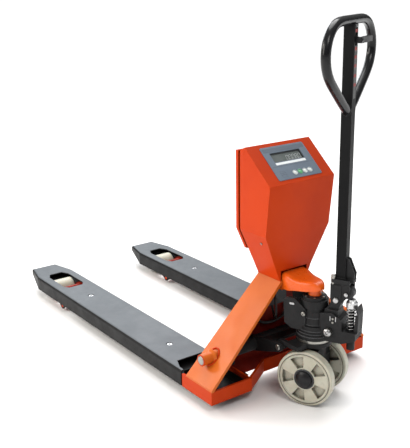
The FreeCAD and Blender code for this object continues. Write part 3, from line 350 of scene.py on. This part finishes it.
ASSIGN = {
    "weigh_cover_left": COVER, "weigh_cover_right": COVER, "fork_channel_left": BLACK, "fork_channel_right": BLACK, "load_cells": ZINC,
    "load_cell_bolts": ZINC, "load_buttons": BRIGHT, "heel_frame": ORANGE, "strap_left": ORANGE_PAINTED_SHEEN, "strap_right": ORANGE_PAINTED_SHEEN, "rocker_shaft": ZINC,
    "back_plate": ORANGE_PAINTED_SHADE, "frame_head": ORANGE_HEAD_PAINTED_HIGHLIGHT, "lift_ram": BRIGHT, "terminal_housing": ORANGE, "terminal_back_plate": ORANGE, "housing_screws": ZINC,
    "display_overlay": OVERLAY, "lcd_module": LCD, "main_board": BOARD, "battery_pack": BLK_PLASTIC, "junction_box": BLK_PLASTIC, "signal_cable": CABLE,
    "lift_yoke": IRON, "thrust_bearing": ZINC, "pump_body": IRON, "ram_gland": IRON, "pump_bolts": ZINC, "steer_axle": ZINC, "handle_pivot_pin": ZINC,
    "handle_tube": BLACK, "handle_loop": GLOSS, "handle_foot": IRON, "handle_bolts": ZINC, "cam_roller_pin": ZINC, "cam_roller": IRON2, "control_lever": BLK_PLASTIC,
    "release_lever": ZINC, "plunger": PLUNGER, "plunger_spring": SPRING, "steer_wheel_left": NYLON, "steer_wheel_right": NYLON, "wheel_bearings_left": ZINC,
    "wheel_bearings_right": ZINC, "hub_cap_left": BLK_PLASTIC, "hub_cap_right": BLK_PLASTIC, "rocker": IRON, "rocker_bushes": BRONZE, "rocker_pins": ZINC,
    "push_rods": ORANGE_INNER_PAINTED_SHADE, "roller_frames": ORANGE_INNER_PAINTED_SHADE, "roller_axles": ORANGE, "load_roller_left": NYLON, "load_roller_right": NYLON, "roller_bearings_left": ZINC,
    "roller_bearings_right": ZINC, "key_1": KEY_W, "key_2": KEY_G, "key_3": KEY_W, "key_4": KEY_W,
}
for n, o in N.items():
    o.data.materials.clear()
    o.data.materials.append(ASSIGN[n])


# --------------------------------------------------------------- mesh helpers
def obj(name, bm, material, body, smooth=35.0, bevel=0.0, segments=2):
    me = bpy.data.meshes.new(name)
    bmesh.ops.remove_doubles(bm, verts=bm.verts, dist=1e-6)
    bmesh.ops.recalc_face_normals(bm, faces=bm.faces)
    bm.to_mesh(me)
    bm.free()
    o = bpy.data.objects.new(name, me)
    COL.objects.link(o)
    me.materials.append(material)
    if bevel:
        md = o.modifiers.new("bevel", "BEVEL")
        md.width = bevel
        md.segments = segments
        md.limit_method = "ANGLE"
        md.angle_limit = math.radians(30)
    for p in me.polygons:
        p.use_smooth = True
    me.set_sharp_from_angle(angle=math.radians(smooth))
    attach(o, body)
    return o


def add_prism(bm, base, up, h):
    """Closed prism over the polygon base (list of Vector), along up."""
    lo = [bm.verts.new(p) for p in base]
    hi = [bm.verts.new(p + up * h) for p in base]
    n = len(base)
    bm.faces.new(lo[::-1])
    bm.faces.new(hi)
    for i in range(n):
        bm.faces.new((lo[i], lo[(i + 1) % n], hi[(i + 1) % n], hi[i]))


def frame_of(axis):
    a = axis.normalized()
    u = a.cross(Vector((0, 0, 1)))
    if u.length < 1e-3:
        u = a.cross(Vector((1, 0, 0)))
    u.normalize()
    return a, u, a.cross(u).normalized()


def add_lathe(bm, origin, axis, prof, seg=40, start=None):
    """Surface of revolution; prof is [(radius, height)] in metres, closed at radius 0 or as a ring."""
    a, u, v = frame_of(axis)
    closed = prof[0] == prof[-1]
    pts = prof[:-1] if closed else prof
    rings = []
    for r, h in pts:
        if r < 1e-7:
            rings.append([bm.verts.new(origin + a * h)])
        else:
            rings.append([bm.verts.new(origin + a * h + (u * math.cos(2 * math.pi * i / seg) + v * math.sin(2 * math.pi * i / seg)) * r) for i in range(seg)])
    pairs = list(zip(rings, rings[1:])) + ([(rings[-1], rings[0])] if closed else [])
    for p, q in pairs:
        for i in range(seg):
            j = (i + 1) % seg
            if len(p) == 1 and len(q) == 1:
                continue
            if len(p) == 1:
                bm.faces.new((p[0], q[j], q[i]))
            elif len(q) == 1:
                bm.faces.new((p[i], p[j], q[0]))
            else:
                bm.faces.new((p[i], p[j], q[j], q[i]))


def add_tube(bm, pts, radius, seg=12, wobble=0.0, closed=False):
    """Round bead through points, with hemispherical ends unless closed."""
    n = len(pts)
    rings = []
    prev = None
    for i, p in enumerate(pts):
        if closed:
            t = (pts[(i + 1) % n] - pts[i - 1]).normalized()
        else:
            t = (pts[min(i + 1, n - 1)] - pts[max(i - 1, 0)]).normalized()
        if prev is None:
            _, u, v = frame_of(t)
        else:
            u = (prev - t * prev.dot(t)).normalized()
            v = t.cross(u)
        prev = u
        r = radius * (1 + wobble * math.sin(i * 2.1) + wobble * 0.6 * math.sin(i * 0.77 + 1))
        rings.append([bm.verts.new(p + (u * math.cos(2 * math.pi * k / seg) + v * math.sin(2 * math.pi * k / seg)) * r) for k in range(seg)])
    m = n if closed else n - 1
    for i in range(m):
        a, b = rings[i], rings[(i + 1) % n]
        for k in range(seg):
            bm.faces.new((a[k], a[(k + 1) % seg], b[(k + 1) % seg], b[k]))
    if not closed:
        for ring, q in ((rings[0], pts[0] + (pts[0] - pts[1]).normalized() * radius * 0.6), (rings[-1], pts[-1] + (pts[-1] - pts[-2]).normalized() * radius * 0.6)):
            c = bm.verts.new(q)
            for k in range(seg):
                bm.faces.new((ring[k], ring[(k + 1) % seg], c))


def line(a, b, n):
    return [a + (b - a) * (i / (n - 1)) for i in range(n)]


def weld(name, a, b, radius, body, material=None):
    bm = bmesh.new()
    n = max(8, int((b - a).length / 0.0022))
    add_tube(bm, line(a, b, n), radius, 10, 0.12)
    return obj(name, bm, material or ORANGE, body, 60)


# -------------------------------------------------------------------- display
SL_A = Vector((0, -213.6, 820.6))
SL_D = Vector((0, -122.2, -104.4)).normalized()
SL_N = Vector((0, -104.4, 122.2)).normalized()
UPN = Vector((0, -104.4, 122.2)).normalized()


def D(x, s, h):
    p = SL_A + Vector((x, 0, 0)) + SL_D * s + SL_N * h
    return W(*p)


def slab(bm, x0, x1, s0, s1, h0, h1, c=0.0):
    if c:
        pts = [(x0 + c, s0), (x1 - c, s0), (x1, s0 + c), (x1, s1 - c), (x1 - c, s1), (x0 + c, s1), (x0, s1 - c), (x0, s0 + c)]
    else:
        pts = [(x0, s0), (x1, s0), (x1, s1), (x0, s1)]
    add_prism(bm, [D(x, s, h0) for x, s in pts], UPN, (h1 - h0) / 1000.0)


def ring_frame(bm, x0, x1, s0, s1, w, h0, h1):
    slab(bm, x0, x1, s0, s0 + w, h0, h1)
    slab(bm, x0, x1, s1 - w, s1, h0, h1)
    slab(bm, x0, x0 + w, s0 + w, s1 - w, h0, h1)
    slab(bm, x1 - w, x1, s0 + w, s1 - w, h0, h1)


bm = bmesh.new()
ring_frame(bm, -61.8, 62.8, 40.2, 76.8, 2.6, -3.55, -0.4)
obj("lcd_bezel_frame", bm, BEZEL, "frame", bevel=0.0003)

SEG = {"a": (0, 0, 1, 0), "b": (1, 0, 1, 0.5), "c": (1, 0.5, 1, 1), "d": (0, 1, 1, 1), "e": (0, 0.5, 0, 1), "f": (0, 0, 0, 0.5), "g": (0, 0.5, 1, 0.5)}


def digit(bm, x, s, w, h, segs, t=1.5, slant=-2.2):
    def P(a, b):
        return (x + a * w + slant * (b - 0.5), s + b * h)
    for k in segs:
        ax, ay, bx, by = SEG[k]
        (x0, s0), (x1, s1) = P(ax, ay), P(bx, by)
        d = Vector((x1 - x0, s1 - s0)).normalized()
        nn = Vector((-d.y, d.x)) * (t / 2)
        a = Vector((x0, s0)) + d * 0.55
        b = Vector((x1, s1)) - d * 0.55
        pts = [a, a + d * t / 2 + nn, b - d * t / 2 + nn, b, b - d * t / 2 - nn, a + d * t / 2 - nn]
        add_prism(bm, [D(q.x, q.y, -3.58) for q in pts], UPN, 0.00022)


bm = bmesh.new()
for i in range(5):
    digit(bm, -2 + i * 12.6, 53.5, 8.2, 19, "abcdefg" if i == 3 else "abcdef")
slab(bm, 44.0, 45.8, 70.6, 72.4, -3.58, -3.36)
obj("lcd_digits", bm, LCD_INK, "frame", 30)

bm = bmesh.new()
slab(bm, -62, 62, 79.6, 88.6, 1.58, 1.86, 0.8)
obj("overlay_light_strip", bm, WHITE_PRINT, "frame", bevel=0.0001)
bm = bmesh.new()
slab(bm, -82, 86, 20.5, 36.5, 1.58, 1.78, 1.5)
slab(bm, -82, 86, 93.0, 95.0, 1.58, 1.78, 0.4)
ring_frame(bm, -66, -46, 113, 136, 0.9, 1.58, 1.82)
slab(bm, -62, -50, 119, 121, 1.58, 1.8)
slab(bm, -62, -50, 125, 127, 1.58, 1.8)
obj("overlay_dark_print", bm, OVERLAY_DK, "frame", bevel=0.0001)
for i, x in enumerate((-10.0, 11.0, 31.5, 52.0)):
    bm = bmesh.new()
    o0 = D(x, 125.5, 1.55)
    add_lathe(bm, o0, UPN, [(0.0078, 0.0), (0.0078, 0.0009), (0.0081, 0.0013), (0.0086, 0.0013), (0.0090, 0.0009), (0.0090, 0.0), (0.0078, 0.0)], 40)
    obj("key_ring_%d" % (i + 1), bm, KEY_G if i == 1 else KEY_W, "frame", 40)
    bm = bmesh.new()
    add_lathe(bm, D(x, 125.5, 2.15), UPN, [(0.0, 0.00085), (0.0022, 0.0008), (0.0042, 0.00055), (0.0054, 0.0001), (0.0055, -0.0002), (0.0, -0.0002)], 36)
    obj("key_crown_%d" % (i + 1), bm, KEY_G if i == 1 else KEY_W, "key_%d" % (i + 1), 50)


# ---------------------------------------------------------------- screw heads
def screw(name, at, normal, r, h, body, material=ZINC, socket=True, dome=0.35):
    """Domed screw head with a round socket recess, or a plain dome."""
    bm = bmesh.new()
    prof = [(0.0, h * 0.45)] if socket else [(0.0, h)]
    if socket:
        prof += [(r * 0.42, h * 0.45), (r * 0.42, h * 0.98), (r * 0.48, h)]
    prof += [(r * 0.62, h * (1 - 0.02)), (r * 0.86, h * (1 - dome * 0.5)), (r, h * (1 - dome)), (r, 0.0), (0.0, 0.0)]
    add_lathe(bm, at, normal, prof, 28)
    return obj(name, bm, material, body, 35)


# ------------------------------------------------------------- frame: welds
for sgn, side in ((-1, "left"), (1, "right")):
    # strap to heel skirt, along the top edge of the skirt's side wall
    weld("weld_strap_foot_" + side, W(sgn * 334, -296, 82.5), W(sgn * 334, -168, 82.5), 0.0028, "frame")
    bm = bmesh.new()
    c = W(sgn * 277.5, -222, 153)
    ring = []
    for i in range(64):
        a = 2 * math.pi * i / 64
        ring.append(W(sgn * (286.4 - 24.0 / 1.0605 * math.sin(a) * -1 * 0 ), -222 + 21.5 * math.cos(a), 153 + 21.5 * math.sin(a)))
    # the bead follows the cone of the boss where it meets the strap
    ring = [W(sgn * (60 + (382 - (153 + 22.5 * math.sin(2 * math.pi * i / 64))) / 1.0605 + 1.0), -222 + 22.5 * math.cos(2 * math.pi * i / 64),
              153 + 22.5 * math.sin(2 * math.pi * i / 64)) for i in range(64)]
    add_tube(bm, ring, 0.0034, 10, 0.10, closed=True)
    obj("weld_boss_" + side, bm, ORANGE, "frame", 60)
    # collar around the shaft end
    bm = bmesh.new()
    x0 = W(sgn * 322, -222, 153)
    ax = Vector((sgn, 0, 0))
    add_lathe(bm, x0, ax, [(0.0152, 0.0), (0.0152, 0.0010), (0.0160, 0.0018), (0.0186, 0.0018), (0.0195, 0.0008), (0.0195, 0.0), (0.0152, 0.0)], 48)
    obj("boss_rim_" + side, bm, ORANGE, "frame", 40)
    # closing pan under the heel of the fork
    bm = bmesh.new()
    add_prism(bm, [W(sgn * x, y, 33.0) for x, y in ((334, -296), (190, -296), (186, -230), (120, -214), (120, -176), (190, -140), (334, -140))], Vector((0, 0, 1)), 0.002)
    obj("heel_pan_" + side, bm, BLACK, "frame", bevel=0.0004)
    # dark end wall of the fork, notched for the push rod
    bm = bmesh.new()
    wall = [(190, 35.5), (211, 35.5), (211, 64), (239, 64), (239, 35.5), (331, 35.5), (331, 86), (190, 86)]
    add_prism(bm, [W(sgn * x, -137.5, z) for x, z in wall], Vector((0, 1, 0)), 0.003)
    obj("fork_end_wall_" + side, bm, BLACK, "frame", bevel=0.0005)
    # dark web across the open end of the channel, above the push rod
    bm = bmesh.new()
    add_prism(bm, [W(sgn * x, y, 60.5) for x, y in ((196, -134), (326, -134), (326, -6), (196, -6))], Vector((0, 0, 1)), 0.002)
    obj("fork_end_web_" + side, bm, BLACK, "frame", bevel=0.0004)
# painted shade: a dark sheet below the back plate where there is only shade
bm = bmesh.new()
add_prism(bm, [W(x, -190.4, z) for x, z in ((-180, 102), (180, 102), (180, 184), (-180, 184))], Vector((0, 1, 0)), 0.0048)
obj("back_plate_shade_sheet", bm, ORANGE_PAINTED_SHADE, "frame", bevel=0.0005)
# hose that hangs between the junction box and the pump side
hk = [(56.8, 262), (58, 240), (52.8, 221), (38, 206), (14, 198), (-15, 196.5), (-40, 201), (-64, 213), (-84, 231), (-92, 248), (-92, 262)]
hp = []
for i in range(1, len(hk) - 2):
    q = [Vector(v) for v in hk[i - 1:i + 3]]
    for k in range(6):
        t = k / 6
        hp.append(0.5 * ((2 * q[1]) + (q[2] - q[0]) * t + (2 * q[0] - 5 * q[1] + 4 * q[2] - q[3]) * t * t + (3 * q[1] - q[0] - 3 * q[2] + q[3]) * t ** 3))
bm = bmesh.new()
add_tube(bm, [W(p.x, -202.0, p.y) for p in hp], 0.0052, 16)
obj("pump_hose", bm, CABLE, "frame", 60)
for i, p in enumerate((hp[0], hp[-1])):
    bm = bmesh.new()
    add_lathe(bm, W(p.x, -202.0, p.y - 3), Vector((0, 0, 1)), [(0.0, 0.0), (0.0072, 0.0), (0.0078, 0.0015), (0.0078, 0.0095), (0.0066, 0.0115), (0.0, 0.0115)], 28)
    add_prism(bm, [W(p.x + a, -202.0, p.y - 1 + b) for a, b in ((-5, 0), (5, 0), (5, 8), (-5, 8))], Vector((0, 1, 0)), 0.0115)
    obj("hose_clip_%d" % (i + 1), bm, BLK_PLASTIC, "frame", 40, bevel=0.0004)
# nose to housing seam and stiffening bead under the housing
weld("weld_head_left", W(-52.2, -300, 382), W(-52.2, -196, 382), 0.0022, "frame")
weld("weld_head_right", W(52.2, -300, 382), W(52.2, -196, 382), 0.0022, "frame")
weld("weld_collar_seat", W(-12, -381.5, 371.2), W(12, -381.5, 371.2), 0.0018, "frame")

# ------------------------------------------------------------ pump furniture
XA = (S(1, 0, 0) - S(0, 0, 0)).normalized()
YA = (S(0, 1, 0) - S(0, 0, 0)).normalized()
ZA = Vector((0, 0, 1))


def slot_plate(name, x, y, z, ly, lz, t, material, body="pump_unit", round_=True):
    """Obround plate on a face square to the steered X axis."""
    bm = bmesh.new()
    pts = []
    r = min(ly, lz) / 2
    for i in range(32):
        a = 2 * math.pi * (i + 0.5) / 32
        cy_ = (ly / 2 - r) * (1 if math.cos(a) > 0 else -1)
        cz_ = (lz / 2 - r) * (1 if math.sin(a) > 0 else -1)
        pts.append(S(x, y + cy_ + r * math.cos(a), z + cz_ + r * math.sin(a)))
    add_prism(bm, pts, -XA, t / 1000.0)
    return obj(name, bm, material, body, 35, bevel=0.0005)


slot_plate("bracket_slot_plate", -43.9, 60, 331, 17, 7, 2.0, BRIGHT)
screw("bracket_screw", S(-47.9, 20, 304), -XA, 0.0068, 0.0035, "pump_unit")
slot_plate("valve_slot_front", -33.9, -65, 300, 3.0, 17, 1.6, BRIGHT)
slot_plate("valve_slot_rear", -33.9, -83, 300, 3.0, 17, 1.6, BRIGHT)
screw("pivot_pin_face", S(-32.6, -80, 362), -XA, 0.0082, 0.0022, "pump_unit", BRIGHT, socket=False)
screw("pivot_pin_face_far", S(32.6, -80, 362), XA, 0.0082, 0.0022, "pump_unit", BRIGHT, socket=False)
screw("roller_pin_face", S(-29.4, -112, 385), -XA, 0.0062, 0.0020, "handle", BRIGHT, socket=False)
screw("roller_pin_face_far", S(29.4, -112, 385), XA, 0.0062, 0.0020, "handle", BRIGHT, socket=False)
screw("side_plug", S(-43.9, -60, 254), -XA, 0.0125, 0.0065, "pump_unit", BRIGHT, dome=0.6)
screw("side_plug_far", S(43.9, -60, 254), XA, 0.0125, 0.0065, "pump_unit", BRIGHT, dome=0.6)
# machined rings of the cylinder base
for i, (r, z, t) in enumerate(((0.0572, 0.2300, 0.0022), (0.0533, 0.2385, 0.0018), (0.0505, 0.2475, 0.0016), (0.0425, 0.2655, 0.0020), (0.0424, 0.2900, 0.0016))):
    bm = bmesh.new()
    o0 = S(0, 0, 0) + Vector((0, 0, z))
    add_lathe(bm, o0, ZA, [(r - 0.0012, -t), (r, -t * 0.7), (r + 0.0009, 0), (r, t * 0.7), (r - 0.0012, t), (r - 0.0012, -t)], 64)
    obj("cylinder_ring_%d" % (i + 1), bm, IRON2, "pump_unit", 40)
bm = bmesh.new()
o0 = S(0, 0, 0) + Vector((0, 0, 0.356))
add_lathe(bm, o0, ZA, [(0.0185, -0.0005), (0.0185, 0.0006), (0.0200, 0.0014), (0.0230, 0.0014), (0.0245, 0.0002), (0.0245, -0.0005), (0.0185, -0.0005)], 56)
obj("ram_wiper_ring", bm, BLK_PLASTIC, "pump_unit", 40)
for i in range(6):
    a = math.radians(20 + 60 * i)
    screw("gland_screw_%d" % (i + 1), S(31.0 * math.cos(a), 31.0 * math.sin(a), 356.0), ZA, 0.0036, 0.0012, "pump_unit")

# plunger cap: turned grooves
bm = bmesh.new()
o0 = S(0, -123, 0)
for z in (0.3405, 0.3495):
    add_lathe(bm, o0 + Vector((0, 0, z)), ZA, [(0.0176, -0.0012), (0.01835, -0.0008), (0.0186, 0), (0.01835, 0.0008), (0.0176, 0.0012), (0.0176, -0.0012)], 56)
obj("plunger_cap_rings", bm, CAP_STEEL, "plunger", 40)

# wheels: tread bands, hub ring and rim beads on both faces
for sgn, side in ((-1, "left"), (1, "right")):
    body = "wheel_" + side
    for f, xf in (("out", sgn * 79.0), ("in", sgn * 49.0)):
        ax = XA * (sgn if f == "out" else -sgn)
        o0 = S(xf, 0, 94)
        bm = bmesh.new()
        add_lathe(bm, o0, ax, [(0.0775, -0.0008), (0.0782, 0.0008), (0.0800, 0.0014), (0.0818, 0.0008), (0.0825, -0.0008), (0.0775, -0.0008)], 96)
        obj("rim_bead_%s_%s" % (side, f), bm, NYLON, body, 50)
        bm = bmesh.new()
        add_lathe(bm, o0, ax, [(0.0272, -0.0010), (0.0272, 0.0010), (0.0285, 0.0020), (0.0330, 0.0020), (0.0345, 0.0008), (0.0345, -0.0010), (0.0272, -0.0010)], 72)
        obj("hub_ring_%s_%s" % (side, f), bm, IRON2, body, 50)
        bm = bmesh.new()
        add_lathe(bm, o0, ax, [(0.0832, -0.0006), (0.0834, 0.0004), (0.0864, 0.0004), (0.0866, -0.0006), (0.0832, -0.0006)], 96)
        obj("tread_line_%s_%s" % (side, f), bm, TREAD, body, 50)

# ------------------------------------------------------------ handle furniture
bm = bmesh.new()
add_prism(bm, [S(-11, -104.0, 985), S(11, -104.0, 985), S(11, -104.0, 1135), S(-11, -104.0, 1135)], -YA, 0.0005)
obj("handle_strip", bm, STRIP, "handle", bevel=0.0002)
bm = bmesh.new()
for z in (1172, 1122, 1099, 1074, 1046, 1020):
    add_prism(bm, [S(-9.5, -104.45, z), S(9.5, -104.45, z), S(9.5, -104.45, z + 9), S(-9.5, -104.45, z + 9)], -YA, 0.0003)
obj("handle_strip_bars", bm, RED_BAR, "handle", bevel=0.0001)
bm = bmesh.new()
for z in (1112, 1088, 1060, 1034, 990, 998, 1006):
    add_prism(bm, [S(-9.5, -104.45, z), S(9.5, -104.45, z), S(9.5, -104.45, z + 5.5), S(-9.5, -104.45, z + 5.5)], -YA, 0.0003)
obj("handle_strip_greys", bm, GREY_BAR, "handle", bevel=0.0001)
screw("slot_screw", S(0, -104.0, 1190), -YA, 0.0042, 0.0024, "handle", BRIGHT)
# grip loop: one smooth round tube
LOOP = [(6.0, 945.5), (16.0, 952.0), (45.0, 970.5), (82.0, 995.5), (120.0, 1022.0), (151.0, 1043.5), (177.0, 1067.0), (192.5, 1093.5), (197.0, 1120.0), (192.0, 1146.0),
        (179.5, 1168.0), (160.0, 1186.0), (136.0, 1198.5), (106.0, 1205.0), (70.0, 1206.0), (35.0, 1206.0)]
knots = [Vector((-x, z)) for x, z in LOOP] + [Vector((0, 1206.0))] + [Vector((x, z)) for x, z in reversed(LOOP)]
for _ in range(2):
    inner = [knots[i] * 0.5 + (knots[i - 1] + knots[i + 1]) * 0.25 if 2 < i < len(knots) - 3 else knots[i] for i in range(1, len(knots) - 1)]
    knots = [knots[0]] + [(a * 0.35 + b * 0.65) for a, b in zip(inner, knots[1:-1])] + [knots[-1]]
path = []
for i in range(1, len(knots) - 2):
    p0, p1, p2, p3 = knots[i - 1], knots[i], knots[i + 1], knots[i + 2]
    for k in range(8):
        t = k / 8
        path.append(0.5 * ((2 * p1) + (p2 - p0) * t + (2 * p0 - 5 * p1 + 4 * p2 - p3) * t * t + (3 * p1 - p0 - 3 * p2 + p3) * t ** 3))
path.append(knots[-2])
top = max(p.y for p in path)
bm = bmesh.new()
add_tube(bm, [S(p.x, -88.0, p.y - max(0.0, top - 1206.0)) for p in path], 0.01395, 40)
loop = obj("grip_loop", bm, GLOSS, "handle", 60)
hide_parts("handle_loop")
# welds of the loop on the tube
for sgn, side in ((-1, "left"), (1, "right")):
    bm = bmesh.new()
    pts = []
    for i in range(40):
        a = 2 * math.pi * i / 40
        pts.append(S(sgn * 16.6, -88 + 14.4 * math.cos(a), 953 + 16.4 * math.sin(a)))
    add_tube(bm, pts, 0.0022, 8, 0.1, closed=True)
    obj("weld_loop_" + side, bm, GLOSS, "handle", 60)
bm = bmesh.new()
pts = [S(-16.4, -104.4, 432.2), S(16.4, -104.4, 432.2), S(16.4, -71.6, 432.2), S(-16.4, -71.6, 432.2)]
path = []
for i in range(4):
    path += line(pts[i], pts[(i + 1) % 4], 16)[:-1]
add_tube(bm, path, 0.0024, 8, 0.1, closed=True)
obj("weld_tube_foot", bm, IRON, "handle", 60)

# --------------------------------------------------------------------- stage
bm = bmesh.new()
add_prism(bm, [Vector((-90, -60, -0.02)), Vector((90, -60, -0.02)), Vector((90, 120, -0.02)), Vector((-90, 120, -0.02))], ZA, 0.02)
me = bpy.data.meshes.new("floor")
bm.to_mesh(me)
bm.free()
floor = bpy.data.objects.new("floor", me)
COL.objects.link(floor)
fm = M("floor_white")
fm.color(fm.mix(fm.ramp(fm.noise(0.6, 3, 0.5), 0.3, 0.7), (0.95, 0.95, 0.95, 1), (0.94, 0.94, 0.94, 1)))
fm.rough(0.75)
fm.surface(fm.noise(60, 2, 0.5), 0.0002)
fm.put(Specular_IOR_Level=0.15)
me.materials.append(fm.m)

# -------------------------------------------------------------------- lights
world = bpy.data.worlds.new("studio")
bpy.context.scene.world = world
world.use_nodes = True
wt = world.node_tree
bg = wt.nodes["Background"]
tc = wt.nodes.new("ShaderNodeTexCoord")
sp = wt.nodes.new("ShaderNodeSeparateXYZ")
wt.links.new(tc.outputs["Generated"], sp.inputs[0])
mx = wt.nodes.new("ShaderNodeMath")
mx.operation = "MAXIMUM"
mx.inputs[1].default_value = 0.0
wt.links.new(sp.outputs[2], mx.inputs[0])
pw = wt.nodes.new("ShaderNodeMath")
pw.operation = "POWER"
pw.inputs[1].default_value = 1.2
wt.links.new(mx.outputs[0], pw.inputs[0])
ml = wt.nodes.new("ShaderNodeMath")
ml.operation = "MULTIPLY_ADD"
ml.inputs[1].default_value = 0.55
ml.inputs[2].default_value = 0.05
wt.links.new(pw.outputs[0], ml.inputs[0])
wt.links.new(ml.outputs[0], bg.inputs["Strength"])
bg.inputs["Color"].default_value = (1.0, 1.0, 1.0, 1)


def area(name, at, target, size, power, color=(1, 1, 1)):
    ld = bpy.data.lights.new(name, "AREA")
    ld.shape = "RECTANGLE"
    ld.size, ld.size_y = size
    ld.energy = power
    ld.color = color
    lo = bpy.data.objects.new(name, ld)
    COL.objects.link(lo)
    lo.location = at
    lo.rotation_euler = (Vector(target) - Vector(at)).to_track_quat("-Z", "Y").to_euler()
    return lo


area("key_left", (-4.2, 0.6, 2.6), (0, -0.3, 0.4), (2.6, 2.6), 122, (1.0, 0.96, 0.90))
area("strap_sheen", (-2.9, 3.4, 2.9), (-0.2, -0.3, 0.3), (1.2, 1.2), 80, (1.0, 0.95, 0.88))
area("front_top", (-0.7, -2.6, 3.4), (0, -0.5, 0.4), (1.2, 1.2), 34, (1.0, 0.97, 0.94))
sun_data = bpy.data.lights.new("overhead", "SUN")
sun_data.energy = 2.7
sun_data.angle = math.radians(50)
sun = bpy.data.objects.new("overhead", sun_data)
COL.objects.link(sun)
sun.rotation_euler = Vector((-0.42, -0.40, -1.0)).to_track_quat("-Z", "Y").to_euler()
area("rim_back", (1.6, 4.0, 2.4), (0, -0.3, 0.7), (2.4, 1.4), 60, (0.92, 0.96, 1.0))
area("front_right", (2.6, -3.6, 1.9), (0, -0.6, 0.6), (1.2, 2.2), 7, (0.92, 0.96, 1.0))

# -------------------------------------------------------------------- camera
az, el, roll = math.radians(-35.8286), math.radians(17.0990), math.radians(-0.98504)
back = Vector((math.sin(az) * math.cos(el), -math.cos(az) * math.cos(el), math.sin(el)))
fwd = -back
right = fwd.cross(Vector((0, 0, 1))).normalized()
up = right.cross(fwd).normalized()
R = right * math.cos(roll) + up * math.sin(roll)
U = up * math.cos(roll) - right * math.sin(roll)
cam_data = bpy.data.cameras.new("camera")
cam_data.sensor_width = 36.0
cam_data.sensor_fit = "AUTO"
cam_data.lens = 808.30 / 448.0 * 36.0
cam_data.clip_end = 200.0
cam = bpy.data.objects.new("camera", cam_data)
COL.objects.link(cam)
rot = Matrix((R, U, back)).transposed()
cam.matrix_world = Matrix.Translation(W(-1679.97, -2136.89, 1332.59)) @ rot.to_4x4()
bpy.context.scene.camera = cam
bpy.context.scene.view_settings.view_transform = "Standard"
